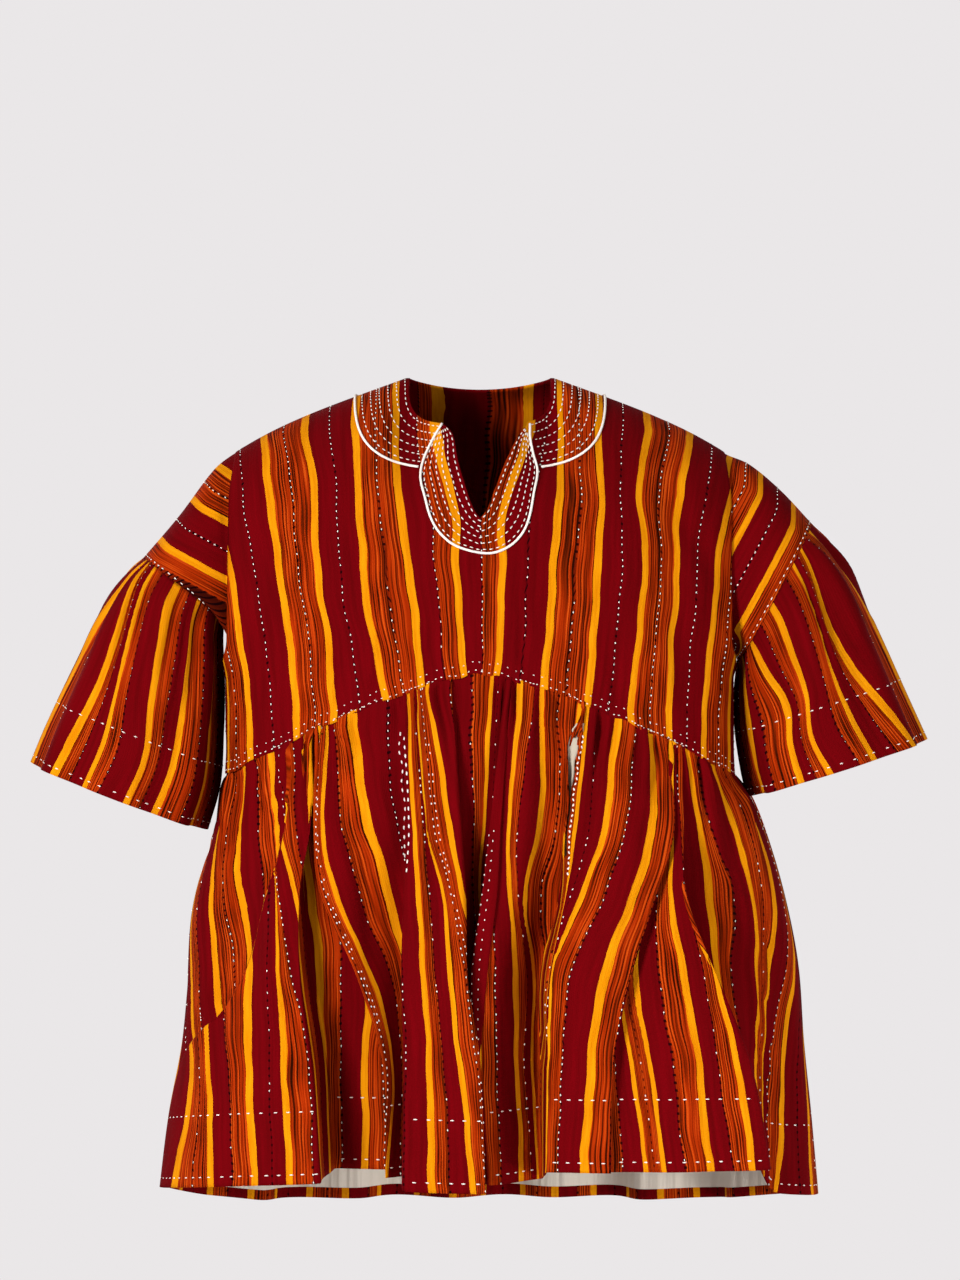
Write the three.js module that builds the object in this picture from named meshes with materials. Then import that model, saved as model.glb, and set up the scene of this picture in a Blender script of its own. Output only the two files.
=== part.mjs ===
// Fugu smock, worn and hollow. Millimetres, +Z up, the front faces -Y.
// The origin is the middle of the neck opening, level with the sides of the neck.
// Every piece is a wall of cloth between an outer face and the same face moved in.
import * as THREE from 'three'

const clothThickness = 1.6
const seamGap = 0.4            // between two pieces along a seam
const mitreLimit = 0.5         // a fold's inner corner is at most twice as deep as the wall
const tuck = 2.5               // how far a drop shoulder lies under the yoke's edge

// ---- Body: the section of the yoke seen from above is a rounded oblong ----
const neckHalfWidth = 67
const frontNeckDrop = 47
const backNeckDrop = 8
const shoulderSlope = 0.36     // fall of the shoulder ridge for each millimetre outwards
const shoulderRound = 12       // further fall at the point of the shoulder
const shoulderReach = 232      // from the middle to the point of the shoulder
const frontDepth = 134         // from the ridge to the front at the gathered seam
const backDepth = 118
const sectionPower = 0.45      // lower is squarer
const neckHollow = { depth: 0.4, halfWidth: 22, from: 30, to: 130 }
const yokeHalfWidth = 240
const armholeAngle = 72        // degrees round the section to the armhole's edge
const underarmTop = -250       // the armhole starts to close here
const underarmBottom = -288    // and is closed here
const seamMiddle = { front: -278, back: -300 }
const seamSide = -374

// Edges of the neck slit, from the two peaks down to its end
const slit = [
  { z: -46, left: -35, right: 46 },
  { z: -58, left: -25, right: 36 },
  { z: -80, left: -21, right: 25 },
  { z: -108, left: -13, right: 14 },
  { z: -127, left: -6, right: 7 },
  { z: -136, left: 0, right: 0 },
]

// ---- Skirt: side outline and depth at each height ----
const outline = [
  { z: -374, left: 238, right: 240, front: 150, back: 134 },
  { z: -402, left: 244, right: 259, front: 158, back: 146 },
  { z: -450, left: 256, right: 278, front: 170, back: 160 },
  { z: -505, left: 270, right: 293, front: 181, back: 172 },
  { z: -560, left: 276, right: 303, front: 190, back: 181 },
  { z: -630, left: 283, right: 308, front: 201, back: 191 },
  { z: -700, left: 296, right: 315, front: 209, back: 199 },
  { z: -790, left: 307, right: 323, front: 217, back: 207 },
]
const skirtPower = { top: 0.45, hem: 0.72 }

// Heights at which the fold tables give each line's place: the first is the gathered
// seam and the last the hem, whatever their height on that line.
const foldHeights = [-420, -480, -560, -640]

// Front folds from the left side seam to the right one. x: place across, seam to hem.
// out: how far the line stands out of the skirt's general surface, or in when negative.
const frontFolds = [
  { line: 'left side panel', x: [-240, -248, -264, -276, -285, -306], out: [0, 0, 0, 0, 0, 0], hem: -768, columns: 5 },
  { line: 'under the left flare', x: [-160, -166, -180, -207, -262, -290], out: [0, -9, -13, -15, -14, -12], hem: -764, columns: 1 },
  { line: 'left flare', x: [-157, -179, -193, -221, -274, -300], out: [0, 3, 4, 4, 3, 2], hem: -764, columns: 2 },
  { line: 'left flare crest', x: [-153, -168, -184, -196, -212, -214], out: [0, 8, 12, 14, 14, 14], hem: -752, columns: 3 },
  { line: 'left flare far edge', x: [-149, -155, -166, -162, -148, -142], out: [0, 4, 6, 4, 2, 0], hem: -748, columns: 1 },
  { line: 'recess', x: [-146, -161, -172, -172, -160, -154], out: [0, -8, -14, -26, -38, -48], hem: -738, columns: 3 },
  { line: 'recess end', x: [-142, -142, -138, -104, -74, -62], out: [0, -9, -18, -30, -38, -46], hem: -738, columns: 1 },
  { line: 'slanting fold', x: [-139, -151, -150, -115, -86, -74], out: [0, 3, 2, -6, -14, -24], hem: -741, columns: 3 },
  { line: 'under the centre flare', x: [-73, -54, -58, -58, -57, -58], out: [0, -12, -18, -24, -28, -32], hem: -741, columns: 1, slit: 'left' },
  { line: 'centre flare', x: [-70, -65, -71, -71, -69, -72], out: [0, 4, 6, 7, 8, 8], hem: -750, columns: 4 },
  { line: 'centre flare far edge', x: [-28, -18, -14, -9, 2, 6], out: [0, 2, 4, 5, 5, 5], hem: -752, columns: 1 },
  { line: 'centre recess', x: [-25, -28, -26, -20, -10, -6], out: [0, -18, -38, -30, -26, -22], hem: -746, columns: 3 },
  { line: 'centre pleat', x: [28, 26, 22, 24, 26, 28], out: [0, -6, -14, -12, -12, -12], hem: -746, columns: 3 },
  { line: 'under the right flare', x: [82, 104, 86, 70, 70, 70], out: [0, -16, -34, -46, -44, -36], hem: -744, columns: 1, slit: 'right' },
  { line: 'right flare', x: [85, 82, 75, 55, 57, 57], out: [0, 4, 8, 9, 9, 8], hem: -732, columns: 5 },
  { line: 'right flare far edge', x: [153, 173, 163, 138, 122, 119], out: [0, 5, 9, 10, 10, 9], hem: -734, columns: 1 },
  { line: 'under layer', x: [156, 164, 153, 128, 112, 109], out: [0, -3, -4, -3, -2, -2], hem: -734, columns: 4 },
  { line: 'under layer crest', x: [166, 177, 173, 174, 176, 182], out: [0, 0, 8, 16, 22, 26], hem: -733, columns: 3 },
  { line: 'under layer far edge', x: [176, 184, 184, 206, 226, 238], out: [0, -2, 10, 24, 36, 42], hem: -733, columns: 1 },
  { line: 'deep recess', x: [179, 176, 180, 206, 236, 255], out: [0, -16, -34, -48, -56, -60], hem: -745, columns: 3 },
  { line: 'right side panel', x: [210, 232, 246, 260, 272, 284], out: [0, -6, -12, -14, -14, -12], hem: -764, columns: 3 },
  { line: 'right side', x: [240, 265, 287, 303, 309, 322], out: [0, 0, 0, 0, 0, 0], hem: -775, columns: 0 },
]

// Back folds from the right side seam to the left one: crests and the troughs between
const backFolds = [
  { line: 'right side', x: [240, 265, 287, 303, 309, 322], out: [0, 0, 0, 0, 0, 0], hem: -775, columns: 3 },
  { line: 'trough 1', x: [210, 222, 232, 244, 256, 268], out: [0, -6, -11, -16, -19, -22], hem: -792, columns: 3 },
  { line: 'crest 1', x: [176, 188, 196, 206, 216, 224], out: [0, 4, 6, 7, 8, 8], hem: -797, columns: 3 },
  { line: 'trough 2', x: [140, 150, 154, 160, 168, 174], out: [0, -8, -14, -19, -22, -23], hem: -799, columns: 3 },
  { line: 'crest 2', x: [104, 112, 116, 118, 122, 126], out: [0, 5, 7, 10, 11, 11], hem: -799, columns: 3 },
  { line: 'trough 3', x: [66, 70, 70, 72, 74, 76], out: [0, -5, -10, -13, -17, -18], hem: -799, columns: 3 },
  { line: 'crest 3', x: [30, 30, 28, 26, 26, 24], out: [0, 5, 7, 8, 8, 7], hem: -799, columns: 3 },
  { line: 'trough 4', x: [-8, -12, -16, -20, -24, -28], out: [0, -10, -17, -23, -25, -26], hem: -799, columns: 3 },
  { line: 'crest 4', x: [-52, -58, -64, -70, -76, -82], out: [0, 4, 6, 8, 10, 10], hem: -799, columns: 3 },
  { line: 'trough 5', x: [-94, -102, -108, -116, -124, -130], out: [0, -6, -11, -14, -18, -19], hem: -799, columns: 3 },
  { line: 'crest 5', x: [-138, -148, -156, -164, -172, -180], out: [0, 5, 7, 8, 10, 10], hem: -799, columns: 3 },
  { line: 'trough 6', x: [-178, -190, -200, -210, -220, -230], out: [0, -6, -11, -16, -19, -20], hem: -797, columns: 3 },
  { line: 'crest 6', x: [-210, -224, -236, -248, -256, -270], out: [0, 1, 2, 4, 4, 2], hem: -789, columns: 3 },
  { line: 'left side', x: [-240, -248, -264, -276, -285, -306], out: [0, 0, 0, 0, 0, 0], hem: -768, columns: 0 },
]
const skirtRows = [0, 0.04, 0.14, 0.25, 0.36, 0.52, 0.68, 0.84, 1]
const pocketSlit = { top: 0.04, bottom: 0.36 }   // as parts of the way from seam to hem

// ---- Sleeves: rings from the armhole to the hem. outer and inner are the ends of the
// ring nearest the hand and the body, depth is half its size from front to back ----
const sleeves = {
  left: {
    side: -1,
    shoulder: [
      { outer: [-252, -87], inner: [-231, -262], depth: 72 },
      { outer: [-285, -131], inner: [-236, -250], depth: 79 },
      { outer: [-318, -170], inner: [-243, -226], depth: 84 },
    ],
    flounce: [
      { outer: [-318, -170], inner: [-243, -226], depth: 84 },
      { outer: [-335, -188], inner: [-249, -248], depth: 94 },
      { outer: [-357, -224], inner: [-250, -284], depth: 100 },
      { outer: [-385, -281], inner: [-252, -334], depth: 103 },
      { outer: [-408, -331], inner: [-256, -386], depth: 104 },
      { outer: [-422, -366], inner: [-263, -427], depth: 104 },
    ],
  },
  right: {
    side: 1,
    shoulder: [
      { outer: [255, -82], inner: [232, -258], depth: 72 },
      { outer: [285, -107], inner: [240, -260], depth: 79 },
      { outer: [314, -138], inner: [245, -268], depth: 84 },
    ],
    flounce: [
      { outer: [314, -138], inner: [245, -268], depth: 84 },
      { outer: [331, -158], inner: [249, -280], depth: 94 },
      { outer: [352, -192], inner: [252, -302], depth: 100 },
      { outer: [377, -246], inner: [254, -334], depth: 103 },
      { outer: [401, -301], inner: [257, -368], depth: 104 },
      { outer: [420, -344], inner: [261, -396], depth: 104 },
    ],
  },
}
const sleeveColumns = 32
const sleevePleats = 8
const pleatDepth = 5           // half the height of a sleeve pleat at the hem
const ringPower = 0.75         // lower is squarer
const seamAim = 90             // at the armpit a sleeve seam's edge faces this far above its centre
const armholeStart = 222       // a drop shoulder starts this far out, under the yoke
const armholeEdge = 235        // and passes the yoke's edge here
const armholeFoot = -264
const armholeRounds = -170     // below this the armhole closes towards its foot

// ---- White cord, couched round the collar and the slit ----
const cordRadius = 1.1
const cordLift = 0.9           // clear of the cloth under it
const cordSides = 6
const collar = { halfWidth: 118, drop: 90, power: 3.6, backRise: 12, start: 57, steps: 46 }
const slitCordRoute = [
  { x: -35, z: -47 }, { x: -45, z: -65 }, { x: -53, z: -84 }, { x: -55, z: -99 },
  { x: -51, z: -117 }, { x: -46, z: -135 }, { x: -38, z: -149 }, { x: -24, z: -161 },
  { x: -2, z: -168 }, { x: 14, z: -168 }, { x: 29, z: -161 }, { x: 40, z: -149 },
  { x: 46, z: -134 }, { x: 50, z: -112 }, { x: 53, z: -92 }, { x: 49, z: -76 },
  { x: 46, z: -60 }, { x: 46, z: -47 },
]
const slitCordSteps = 36

// ---- Right pocket lining: a strip behind the gaping slit ----
const liningColumns = [
  { past: -4, out: -3.2 }, { past: 6, out: -3.4 }, { past: 16, out: -2.8 },
]
const liningRows = [0.14, 0.2, 0.27, 0.34]

const finishes = {
  stripedCloth: new THREE.MeshStandardMaterial({ color: 0x8a1a12, roughness: 0.85, metalness: 0 }),
  whiteCloth: new THREE.MeshStandardMaterial({ color: 0xe6d9c8, roughness: 0.9, metalness: 0 }),
  whiteCord: new THREE.MeshStandardMaterial({ color: 0xfff0ea, roughness: 0.7, metalness: 0 }),
}

const lerp = THREE.MathUtils.lerp
const clamp = THREE.MathUtils.clamp
const smooth = THREE.MathUtils.smoothstep
const degrees = THREE.MathUtils.degToRad

// A smooth value between the rows of a table, with knots in rising or falling order
function between(knots, values, at) {
  const last = knots.length - 1
  const rising = knots[last] > knots[0] ? 1 : -1
  if ((at - knots[0]) * rising <= 0) return values[0]
  if ((at - knots[last]) * rising >= 0) return values[last]
  let k = 0
  while ((at - knots[k + 1]) * rising > 0) k += 1
  const slope = (i) => {
    const a = Math.max(i - 1, 0)
    const b = Math.min(i + 1, last)
    return (values[b] - values[a]) / (knots[b] - knots[a])
  }
  const span = knots[k + 1] - knots[k]
  const t = (at - knots[k]) / span
  const startSlope = slope(k) * span
  const endSlope = slope(k + 1) * span
  const rise = values[k + 1] - values[k]
  return values[k] + t * (startSlope + t * (3 * rise - 2 * startSlope - endSlope
    + t * (startSlope + endSlope - 2 * rise)))
}

// ---- Cloth walls ----

// The step in from one point of a grid to the wall's inner face: columns run
// counterclockwise seen from above and rows run away from the neck, so their product
// points into the garment. At a fold the step is longer, so both sides keep their wall.
function stepIn(grid, row, column, closed) {
  const columns = grid[0].length
  const point = grid[row][column]
  const before = closed ? (column + columns - 1) % columns : Math.max(column - 1, 0)
  const after = closed ? (column + 1) % columns : Math.min(column + 1, columns - 1)
  const down = new THREE.Vector3().subVectors(
    grid[Math.min(row + 1, grid.length - 1)][column], grid[Math.max(row - 1, 0)][column])
  const sides = [[grid[row][before], point], [point, grid[row][after]]]
    .map(([from, to]) => new THREE.Vector3().subVectors(to, from))
    .filter((across) => across.length() > 0)
    .map((across) => across.cross(down).normalize())
  const inward = sides.reduce((sum, side) => sum.add(side), new THREE.Vector3()).normalize()
  const lean = Math.max(inward.dot(sides[0]), mitreLimit)
  return inward.multiplyScalar(clothThickness / lean)
}

// The wall: the grid is its outer face. missing(row, column) leaves a cell open, and
// inward(row, column) may give the direction of the wall at a seam.
function clothWall(grid, { closed = false, missing = () => false, inward = () => null } = {}) {
  const columns = grid[0].length
  const inner = grid.map((row, r) => row.map((point, c) => point.clone().add(
    inward(r, c)?.multiplyScalar(clothThickness) ?? stepIn(grid, r, c, closed))))
  const points = [...grid.flat(), ...inner.flat()]
  const layer = grid.length * columns
  const at = (r, c) => r * columns + (c % columns)
  const faces = []
  const edges = new Map()
  const quad = (a, b, c, d) => faces.push(a, b, c, a, c, d)
  for (let r = 0; r < grid.length - 1; r += 1) {
    for (let c = 0; c < (closed ? columns : columns - 1); c += 1) {
      if (missing(r, c)) continue
      const corners = [at(r, c), at(r + 1, c), at(r + 1, c + 1), at(r, c + 1)]
      quad(...corners)
      // the inner face splits along the same diagonal, so the wall keeps its thickness
      const [a, b, e, d] = corners.map((corner) => corner + layer)
      quad(a, d, e, b)
      corners.forEach((corner, i) => {
        const next = corners[(i + 1) % 4]
        if (!edges.delete(`${next},${corner}`)) edges.set(`${corner},${next}`, [corner, next])
      })
    }
  }
  for (const [a, b] of edges.values()) quad(b, a, a + layer, b + layer)
  const geometry = new THREE.BufferGeometry()
  geometry.setAttribute('position', new THREE.Float32BufferAttribute(
    points.flatMap((point) => point.toArray()), 3))
  geometry.setIndex(faces)
  return geometry
}

// ---- Yoke ----

const ridgeHeight = (x) => {
  const past = Math.max(Math.abs(x) - neckHalfWidth - 3, 0)
  const reach = shoulderReach - neckHalfWidth - 3
  return -shoulderSlope * past - shoulderRound * (past / reach) ** 4
}

// The section's half width grows at the armhole, where the section stops short of the side
const sectionHalfWidth = (z) => lerp(yokeHalfWidth, yokeHalfWidth + 8,
  smooth(z, underarmBottom, underarmTop))
const edgeAngle = (z) => degrees(lerp(90, armholeAngle, smooth(z, underarmBottom, underarmTop)))

// Depth of the yoke's face at a place across and a height: it leaves the ridge square
// and rounds over the shoulder into the hanging panel.
function yokeDepth(x, z, face) {
  const drop = Math.max(ridgeHeight(x) - z, 0)
  const angle = Math.asin(clamp(Math.abs(x) / sectionHalfWidth(z), 0, 1))
  const outwards = (x / shoulderReach) ** 2
  const rounding = face === 'front' ? lerp(216, 100, outwards) : lerp(50, 100, outwards)
  const full = face === 'front' ? frontDepth : backDepth
  const hollow = face === 'front' ? hollowBesideNeck(x, drop) : 0
  return full * Math.cos(angle) ** sectionPower * (1 - hollow)
    * Math.sqrt(1 - Math.exp(-2 * drop / rounding))
}

// The front lies closer in beside the neck, as a part of its depth
const hollowBesideNeck = (x, drop) => neckHollow.depth
  * Math.exp(-(((Math.abs(x) - neckHalfWidth) / neckHollow.halfWidth) ** 2))
  * (1 - smooth(drop, neckHollow.from, neckHollow.to))

function yokePoint(x, z, face) {
  return new THREE.Vector3(x, (face === 'front' ? -1 : 1) * yokeDepth(x, z, face), z)
}

// Height of the gathered seam: highest in the middle, low at the sides
const seamHeight = (x, face) => {
  const share = clamp(Math.abs(x) / yokeHalfWidth, 0, 1)
  return lerp(seamMiddle[face], seamSide, share ** 1.35)
}

// Height of the yoke's top edge: the ridge, the neck or the slit
function topHeight(x, face) {
  if (Math.abs(x) >= neckHalfWidth) return ridgeHeight(x)
  if (face === 'back') return -backNeckDrop * (1 - (x / neckHalfWidth) ** 2)
  const round = -frontNeckDrop * (1 - (x / neckHalfWidth) ** 4) ** 0.25
  const lip = x < 0 ? 'left' : 'right'
  if (Math.abs(x) >= Math.abs(slit[0][lip])) return round
  return between(slit.map((row) => Math.abs(row[lip])), slit.map((row) => row.z), Math.abs(x))
}

// Columns of the yoke: where each starts at the top edge and where it meets the seam
const yokeColumns = [
  { top: 0, seam: 0 }, { top: 7, seam: 13 }, { top: 14, seam: 26 }, { top: 24, seam: 39 },
  { top: 35, seam: 52 }, { top: 46, seam: 65 }, { top: 57, seam: 79 }, { top: 64, seam: 93 },
  { top: 67, seam: 107 }, { top: 80, seam: 120 }, { top: 97, seam: 133 },
  { top: 114, seam: 146 }, { top: 132, seam: 160 }, { top: 150, seam: 174 },
  { top: 168, seam: 188 }, { top: 192, seam: 210 }, { top: 210, seam: 226.5 },
  { top: 223, seam: 236.6 },
]
const yokeRows = [0, 0.03, 0.08, 0.16, 0.27, 0.4, 0.55, 0.7, 0.85, 1]

function yokeGrid(face) {
  const forward = face === 'front' ? 1 : -1
  const inside = [
    ...yokeColumns.slice(1).map(({ top, seam }) => ({ top: -top, seam: -seam })).reverse(),
    ...yokeColumns,
  ]
  const rows = yokeRows.map((share) => {
    const points = inside.map(({ top, seam }) => {
      const from = topHeight(top, face)
      const to = seamHeight(seam, face) + seamGap / 2
      return yokePoint(lerp(top, seam, share), lerp(from, to, share), face)
    })
    const edge = (side) => {
      const z = lerp(ridgeHeight(shoulderReach), seamSide + seamGap / 2, share)
      const x = share === 0 ? shoulderReach : sectionHalfWidth(z) * Math.sin(edgeAngle(z))
      const reach = lerp(shoulderReach, x, smooth(share, 0, 0.16))
      return yokePoint(side * reach, z, face)
    }
    const row = [edge(-1), ...points, edge(1)]
    return forward === 1 ? row : row.reverse()
  })
  // the two yokes stop just short of each other on the ridge and down the side seam
  const seamSideways = (point) => { point.y -= forward * seamGap / 2 }
  rows[0].forEach((point) => { if (Math.abs(point.x) >= neckHalfWidth) seamSideways(point) })
  rows.slice(1).forEach((row) => [row[0], row[row.length - 1]].forEach((point) => {
    if (Math.abs(point.y) < 1) seamSideways(point)
  }))
  return rows
}

const towardsMiddle = (point) => new THREE.Vector3(-point.x, -point.y, 0).normalize()

function yoke(face) {
  const grid = yokeGrids[face]
  const lastRow = grid.length - 1
  const lastColumn = grid[0].length - 1
  return clothWall(grid, {
    inward: (r, c) => {
      if (r === lastRow) return towardsMiddle(grid[r][c])
      const onRidge = r === 0 && Math.abs(grid[r][c].x) >= neckHalfWidth
      if (onRidge) return new THREE.Vector3(0, 0, -1)
      const onSideSeam = (c === 0 || c === lastColumn) && Math.abs(grid[r][c].y) < 1
      return onSideSeam ? new THREE.Vector3(-Math.sign(grid[r][c].x), 0, 0) : null
    },
  })
}

// ---- Skirt ----

const yokeGrids = { front: yokeGrid('front'), back: yokeGrid('back') }

// A point of the gathered seam: on the yoke's own lower edge, a seam's gap below it
function seamPoint(x, face) {
  const line = yokeGrids[face].at(-1).toSorted((a, b) => a.x - b.x)
  const reached = line.findIndex((point) => point.x >= x)
  const next = reached === -1 ? line.length - 1 : Math.max(reached, 1)
  const share = clamp((x - line[next - 1].x) / (line[next].x - line[next - 1].x), 0, 1)
  const point = line[next - 1].clone().lerp(line[next], share)
  point.z -= seamGap
  return point
}

// A point of the skirt from its bearing round the body, height and stand-out
function skirtPoint(bearing, z, out, face) {
  const heights = outline.map((row) => row.z)
  const column = (name) => between(heights, outline.map((row) => row[name]), z)
  const halfWidth = column(bearing < 0 ? 'left' : 'right')
  const fall = clamp((seamSide - z) / (seamSide - outline[outline.length - 1].z), 0, 1)
  const power = lerp(skirtPower.top, skirtPower.hem, -fall * (fall - 2))
  const forward = face === 'front' ? -1 : 1
  const away = new THREE.Vector3(Math.sin(bearing), forward * Math.cos(bearing), 0)
  const depth = column(face) * Math.max(Math.cos(bearing), 0) ** power
  return new THREE.Vector3(halfWidth * Math.sin(bearing), forward * depth, z)
    .addScaledVector(away, out)
}

// One fold line at a height: its bearing and how far it stands out
function foldAt(fold, z, seam) {
  const knots = [seam, ...foldHeights, fold.hem]
  const x = between(knots, fold.x, z)
  const out = between(knots, fold.out, z)
  const side = x < 0 ? 'left' : 'right'
  const halfWidth = between(outline.map((row) => row.z), outline.map((row) => row[side]), z)
  return { bearing: Math.asin(clamp(x / halfWidth, -1, 1)), out }
}

function skirtGrid(folds, face) {
  const columns = folds.flatMap((fold, i) => Array.from(
    { length: fold.columns || 1 }, (_, step) => ({
      from: fold,
      to: folds[Math.min(i + 1, folds.length - 1)],
      share: fold.columns ? step / fold.columns : 0,
      slit: fold.slit,
    })))
  const rows = skirtRows.map((fall) => columns.map(({ from, to, share }) => {
    const start = Math.asin(from.x[0] / yokeHalfWidth)
    const end = Math.asin(to.x[0] / yokeHalfWidth)
    const top = seamPoint(yokeHalfWidth * Math.sin(lerp(start, end, share)), face)
    if (fall === 0) return top
    const z = lerp(top.z, lerp(from.hem, to.hem, share), fall)
    const a = foldAt(from, z, seamHeight(from.x[0], face))
    const b = foldAt(to, z, seamHeight(to.x[0], face))
    const eased = (1 - Math.cos(share * Math.PI)) / 2
    const point = skirtPoint(lerp(a.bearing, b.bearing, share), z, lerp(a.out, b.out, eased), face)
    point.y = lerp(top.y, point.y, smooth(top.z - z, 0, 70))
    return point
  }))
  // the two skirts stop just short of each other down the side seams
  rows.forEach((row) => [row[0], row[row.length - 1]].forEach((point) => {
    point.y = (face === 'front' ? -1 : 1) * seamGap / 2
  }))
  return { rows, slits: columns.map((column) => column.slit) }
}

function skirt(folds, face) {
  const { rows, slits } = skirtGrid(folds, face)
  const last = rows[0].length - 1
  return clothWall(rows, {
    missing: (r, c) => Boolean(slits[c])
      && skirtRows[r] >= pocketSlit.top && skirtRows[r + 1] <= pocketSlit.bottom,
    inward: (r, c) => {
      if (r === 0) return towardsMiddle(rows[r][c])
      return c === 0 || c === last ? new THREE.Vector3(-Math.sign(rows[r][c].x), 0, 0) : null
    },
  })
}

// ---- Pocket lining ----

function pocketLining() {
  const under = frontFolds.find((fold) => fold.slit === 'right')
  const top = seamHeight(under.x[0], 'front')
  const rows = liningRows.map((fall) => liningColumns.map(({ past, out }) => {
    const z = lerp(top, under.hem, fall)
    const fold = foldAt(under, z, top)
    const step = past / skirtPoint(fold.bearing, z, 0, 'front').length()
    return skirtPoint(fold.bearing + step, z, fold.out + out, 'front')
  }))
  return clothWall(rows)
}

// ---- Sleeves ----

const turns = Array.from({ length: sleeveColumns }, (_, i) => i / sleeveColumns * 2 * Math.PI)
const squared = (value, power) => Math.sign(value) * Math.abs(value) ** power

// A ring of the armhole: the yoke's own section moved in, closed round its foot
function armholeRing(side, x) {
  const inset = clothThickness + tuck
  const top = ridgeHeight(x) - inset
  return turns.map((turn) => {
    const z = lerp(top, armholeFoot, (1 - Math.cos(turn)) / 2)
    const frontHalf = Math.sin(turn) * side < 0
    const depth = yokeDepth(x, z + inset, frontHalf ? 'front' : 'back')
    const below = clamp((armholeRounds - z) / (armholeRounds - armholeFoot), 0, 1)
    const y = Math.max(depth - inset, 0) * Math.sqrt(1 - below ** 3)
    return new THREE.Vector3(side * x, frontHalf ? -y : y, z)
  })
}

// A ring further down the sleeve, from its two ends and its depth. wave is how far its
// pleats stand in and out.
function sleeveRing({ outer, inner, depth }, side, wave = 0) {
  const far = new THREE.Vector3(outer[0], 0, outer[1])
  const near = new THREE.Vector3(inner[0], 0, inner[1])
  const centre = far.clone().add(near).multiplyScalar(0.5)
  const reach = far.clone().sub(centre)
  return turns.map((turn) => {
    const pleat = wave * Math.cos(turn * sleevePleats)
    const y = side * squared(Math.sin(turn), ringPower) * depth
    const spoke = reach.clone().multiplyScalar(squared(Math.cos(turn), ringPower))
      .add(new THREE.Vector3(0, y, 0))
    return spoke.clone().addScaledVector(spoke.clone().normalize(), pleat).add(centre)
  })
}

// Moves a ring along the sleeve by half a seam gap
function seamShift(ring, towards, share) {
  const from = ringCentre(ring)
  const step = ringCentre(towards).sub(from).setLength(seamGap * share)
  return ring.map((point) => point.clone().add(step))
}

const ringCentre = (ring) => ring.reduce((sum, point) => sum.add(point), new THREE.Vector3())
  .divideScalar(ring.length)

function tube(rings, seamRing) {
  const centre = ringCentre(rings[seamRing])
  const towardsCentre = (point, column) => {
    const armpit = (1 - Math.cos(turns[column])) / 2
    const aim = centre.clone().add(new THREE.Vector3(0, 0, seamAim * armpit))
    return aim.sub(point).normalize()
  }
  return clothWall(rings, {
    closed: true,
    inward: (r, c) => (r === seamRing ? towardsCentre(rings[r][c], c) : null),
  })
}

function dropShoulder({ side, shoulder }) {
  const rings = [
    armholeRing(side, armholeStart), armholeRing(side, armholeEdge),
    ...shoulder.map((section) => sleeveRing(section, side)),
  ]
  const last = rings.length - 1
  rings[last] = seamShift(rings[last], rings[last - 1], 0.5)
  return tube(rings, last)
}

function flounce({ side, flounce: sections }) {
  const rings = sections.map((section, i) => sleeveRing(section, side,
    pleatDepth * Math.sqrt(i / (sections.length - 1))))
  rings[0] = seamShift(rings[0], rings[1], 0.5)
  return tube(rings, 0)
}

// ---- Cords ----

// A cord laid on the yoke along a list of places: across, height and face
function layCord(places, steps) {
  const nudge = 0.5
  const points = places.map(({ x, z, face }) => {
    const here = yokePoint(x, z, face)
    const across = yokePoint(x + nudge, z, face).sub(yokePoint(x - nudge, z, face))
    const down = yokePoint(x, z - nudge, face).sub(yokePoint(x, z, face))
    const normal = down.cross(across).multiplyScalar(face === 'front' ? 1 : -1).normalize()
    return here.addScaledVector(normal, cordRadius + cordLift)
  })
  const section = new THREE.Shape(turnsOf(cordSides).map((turn) => new THREE.Vector2(
    cordRadius * Math.cos(turn), cordRadius * Math.sin(turn))))
  const extrudePath = new THREE.CatmullRomCurve3(points)
  return new THREE.ExtrudeGeometry(section, { steps, extrudePath, bevelEnabled: false })
}

const turnsOf = (count) => Array.from({ length: count }, (_, i) => i / count * 2 * Math.PI)

// Round the collar: up the left front, over the shoulder, round the back and down
function collarRoute() {
  const { halfWidth, drop, power, backRise, start } = collar
  const height = (x) => -drop * (1 - (Math.abs(x) / halfWidth) ** power) ** (1 / power)
  const frontHalf = (side) => [start, 66, 76, 86, 95, 103, 109, 113, 116, 117.2, 117.8]
    .map((x) => ({ x: side * x, z: height(x), face: 'front' }))
  const back = [-118, -117, -114, -104, -86, -64, -40, -14, 14, 40, 64, 86, 104, 114, 117, 118]
    .map((x) => ({
      x, z: ridgeHeight(halfWidth) - backRise * (1 - (x / halfWidth) ** 2), face: 'back',
    }))
  return [...frontHalf(-1), ...back, ...frontHalf(1).reverse()]
}

const smock = new THREE.Group()

function addPiece(name, geometry, finish) {
  geometry.computeVertexNormals()
  const mesh = new THREE.Mesh(geometry, finish)
  mesh.name = name
  smock.add(mesh)
}

addPiece('yoke_front', yoke('front'), finishes.stripedCloth)
addPiece('yoke_back', yoke('back'), finishes.stripedCloth)
addPiece('skirt_front', skirt(frontFolds, 'front'), finishes.stripedCloth)
addPiece('skirt_back', skirt(backFolds, 'back'), finishes.stripedCloth)
for (const [side, sleeve] of Object.entries(sleeves)) {
  addPiece(`shoulder_${side}`, dropShoulder(sleeve), finishes.stripedCloth)
  addPiece(`sleeve_${side}`, flounce(sleeve), finishes.stripedCloth)
}
addPiece('pocket_lining', pocketLining(), finishes.whiteCloth)
addPiece('collar_cord', layCord(collarRoute(), collar.steps), finishes.whiteCord)
addPiece('slit_cord', layCord(
  slitCordRoute.map((place) => ({ ...place, face: 'front' })), slitCordSteps), finishes.whiteCord)

export default smock
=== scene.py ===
import math

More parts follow.
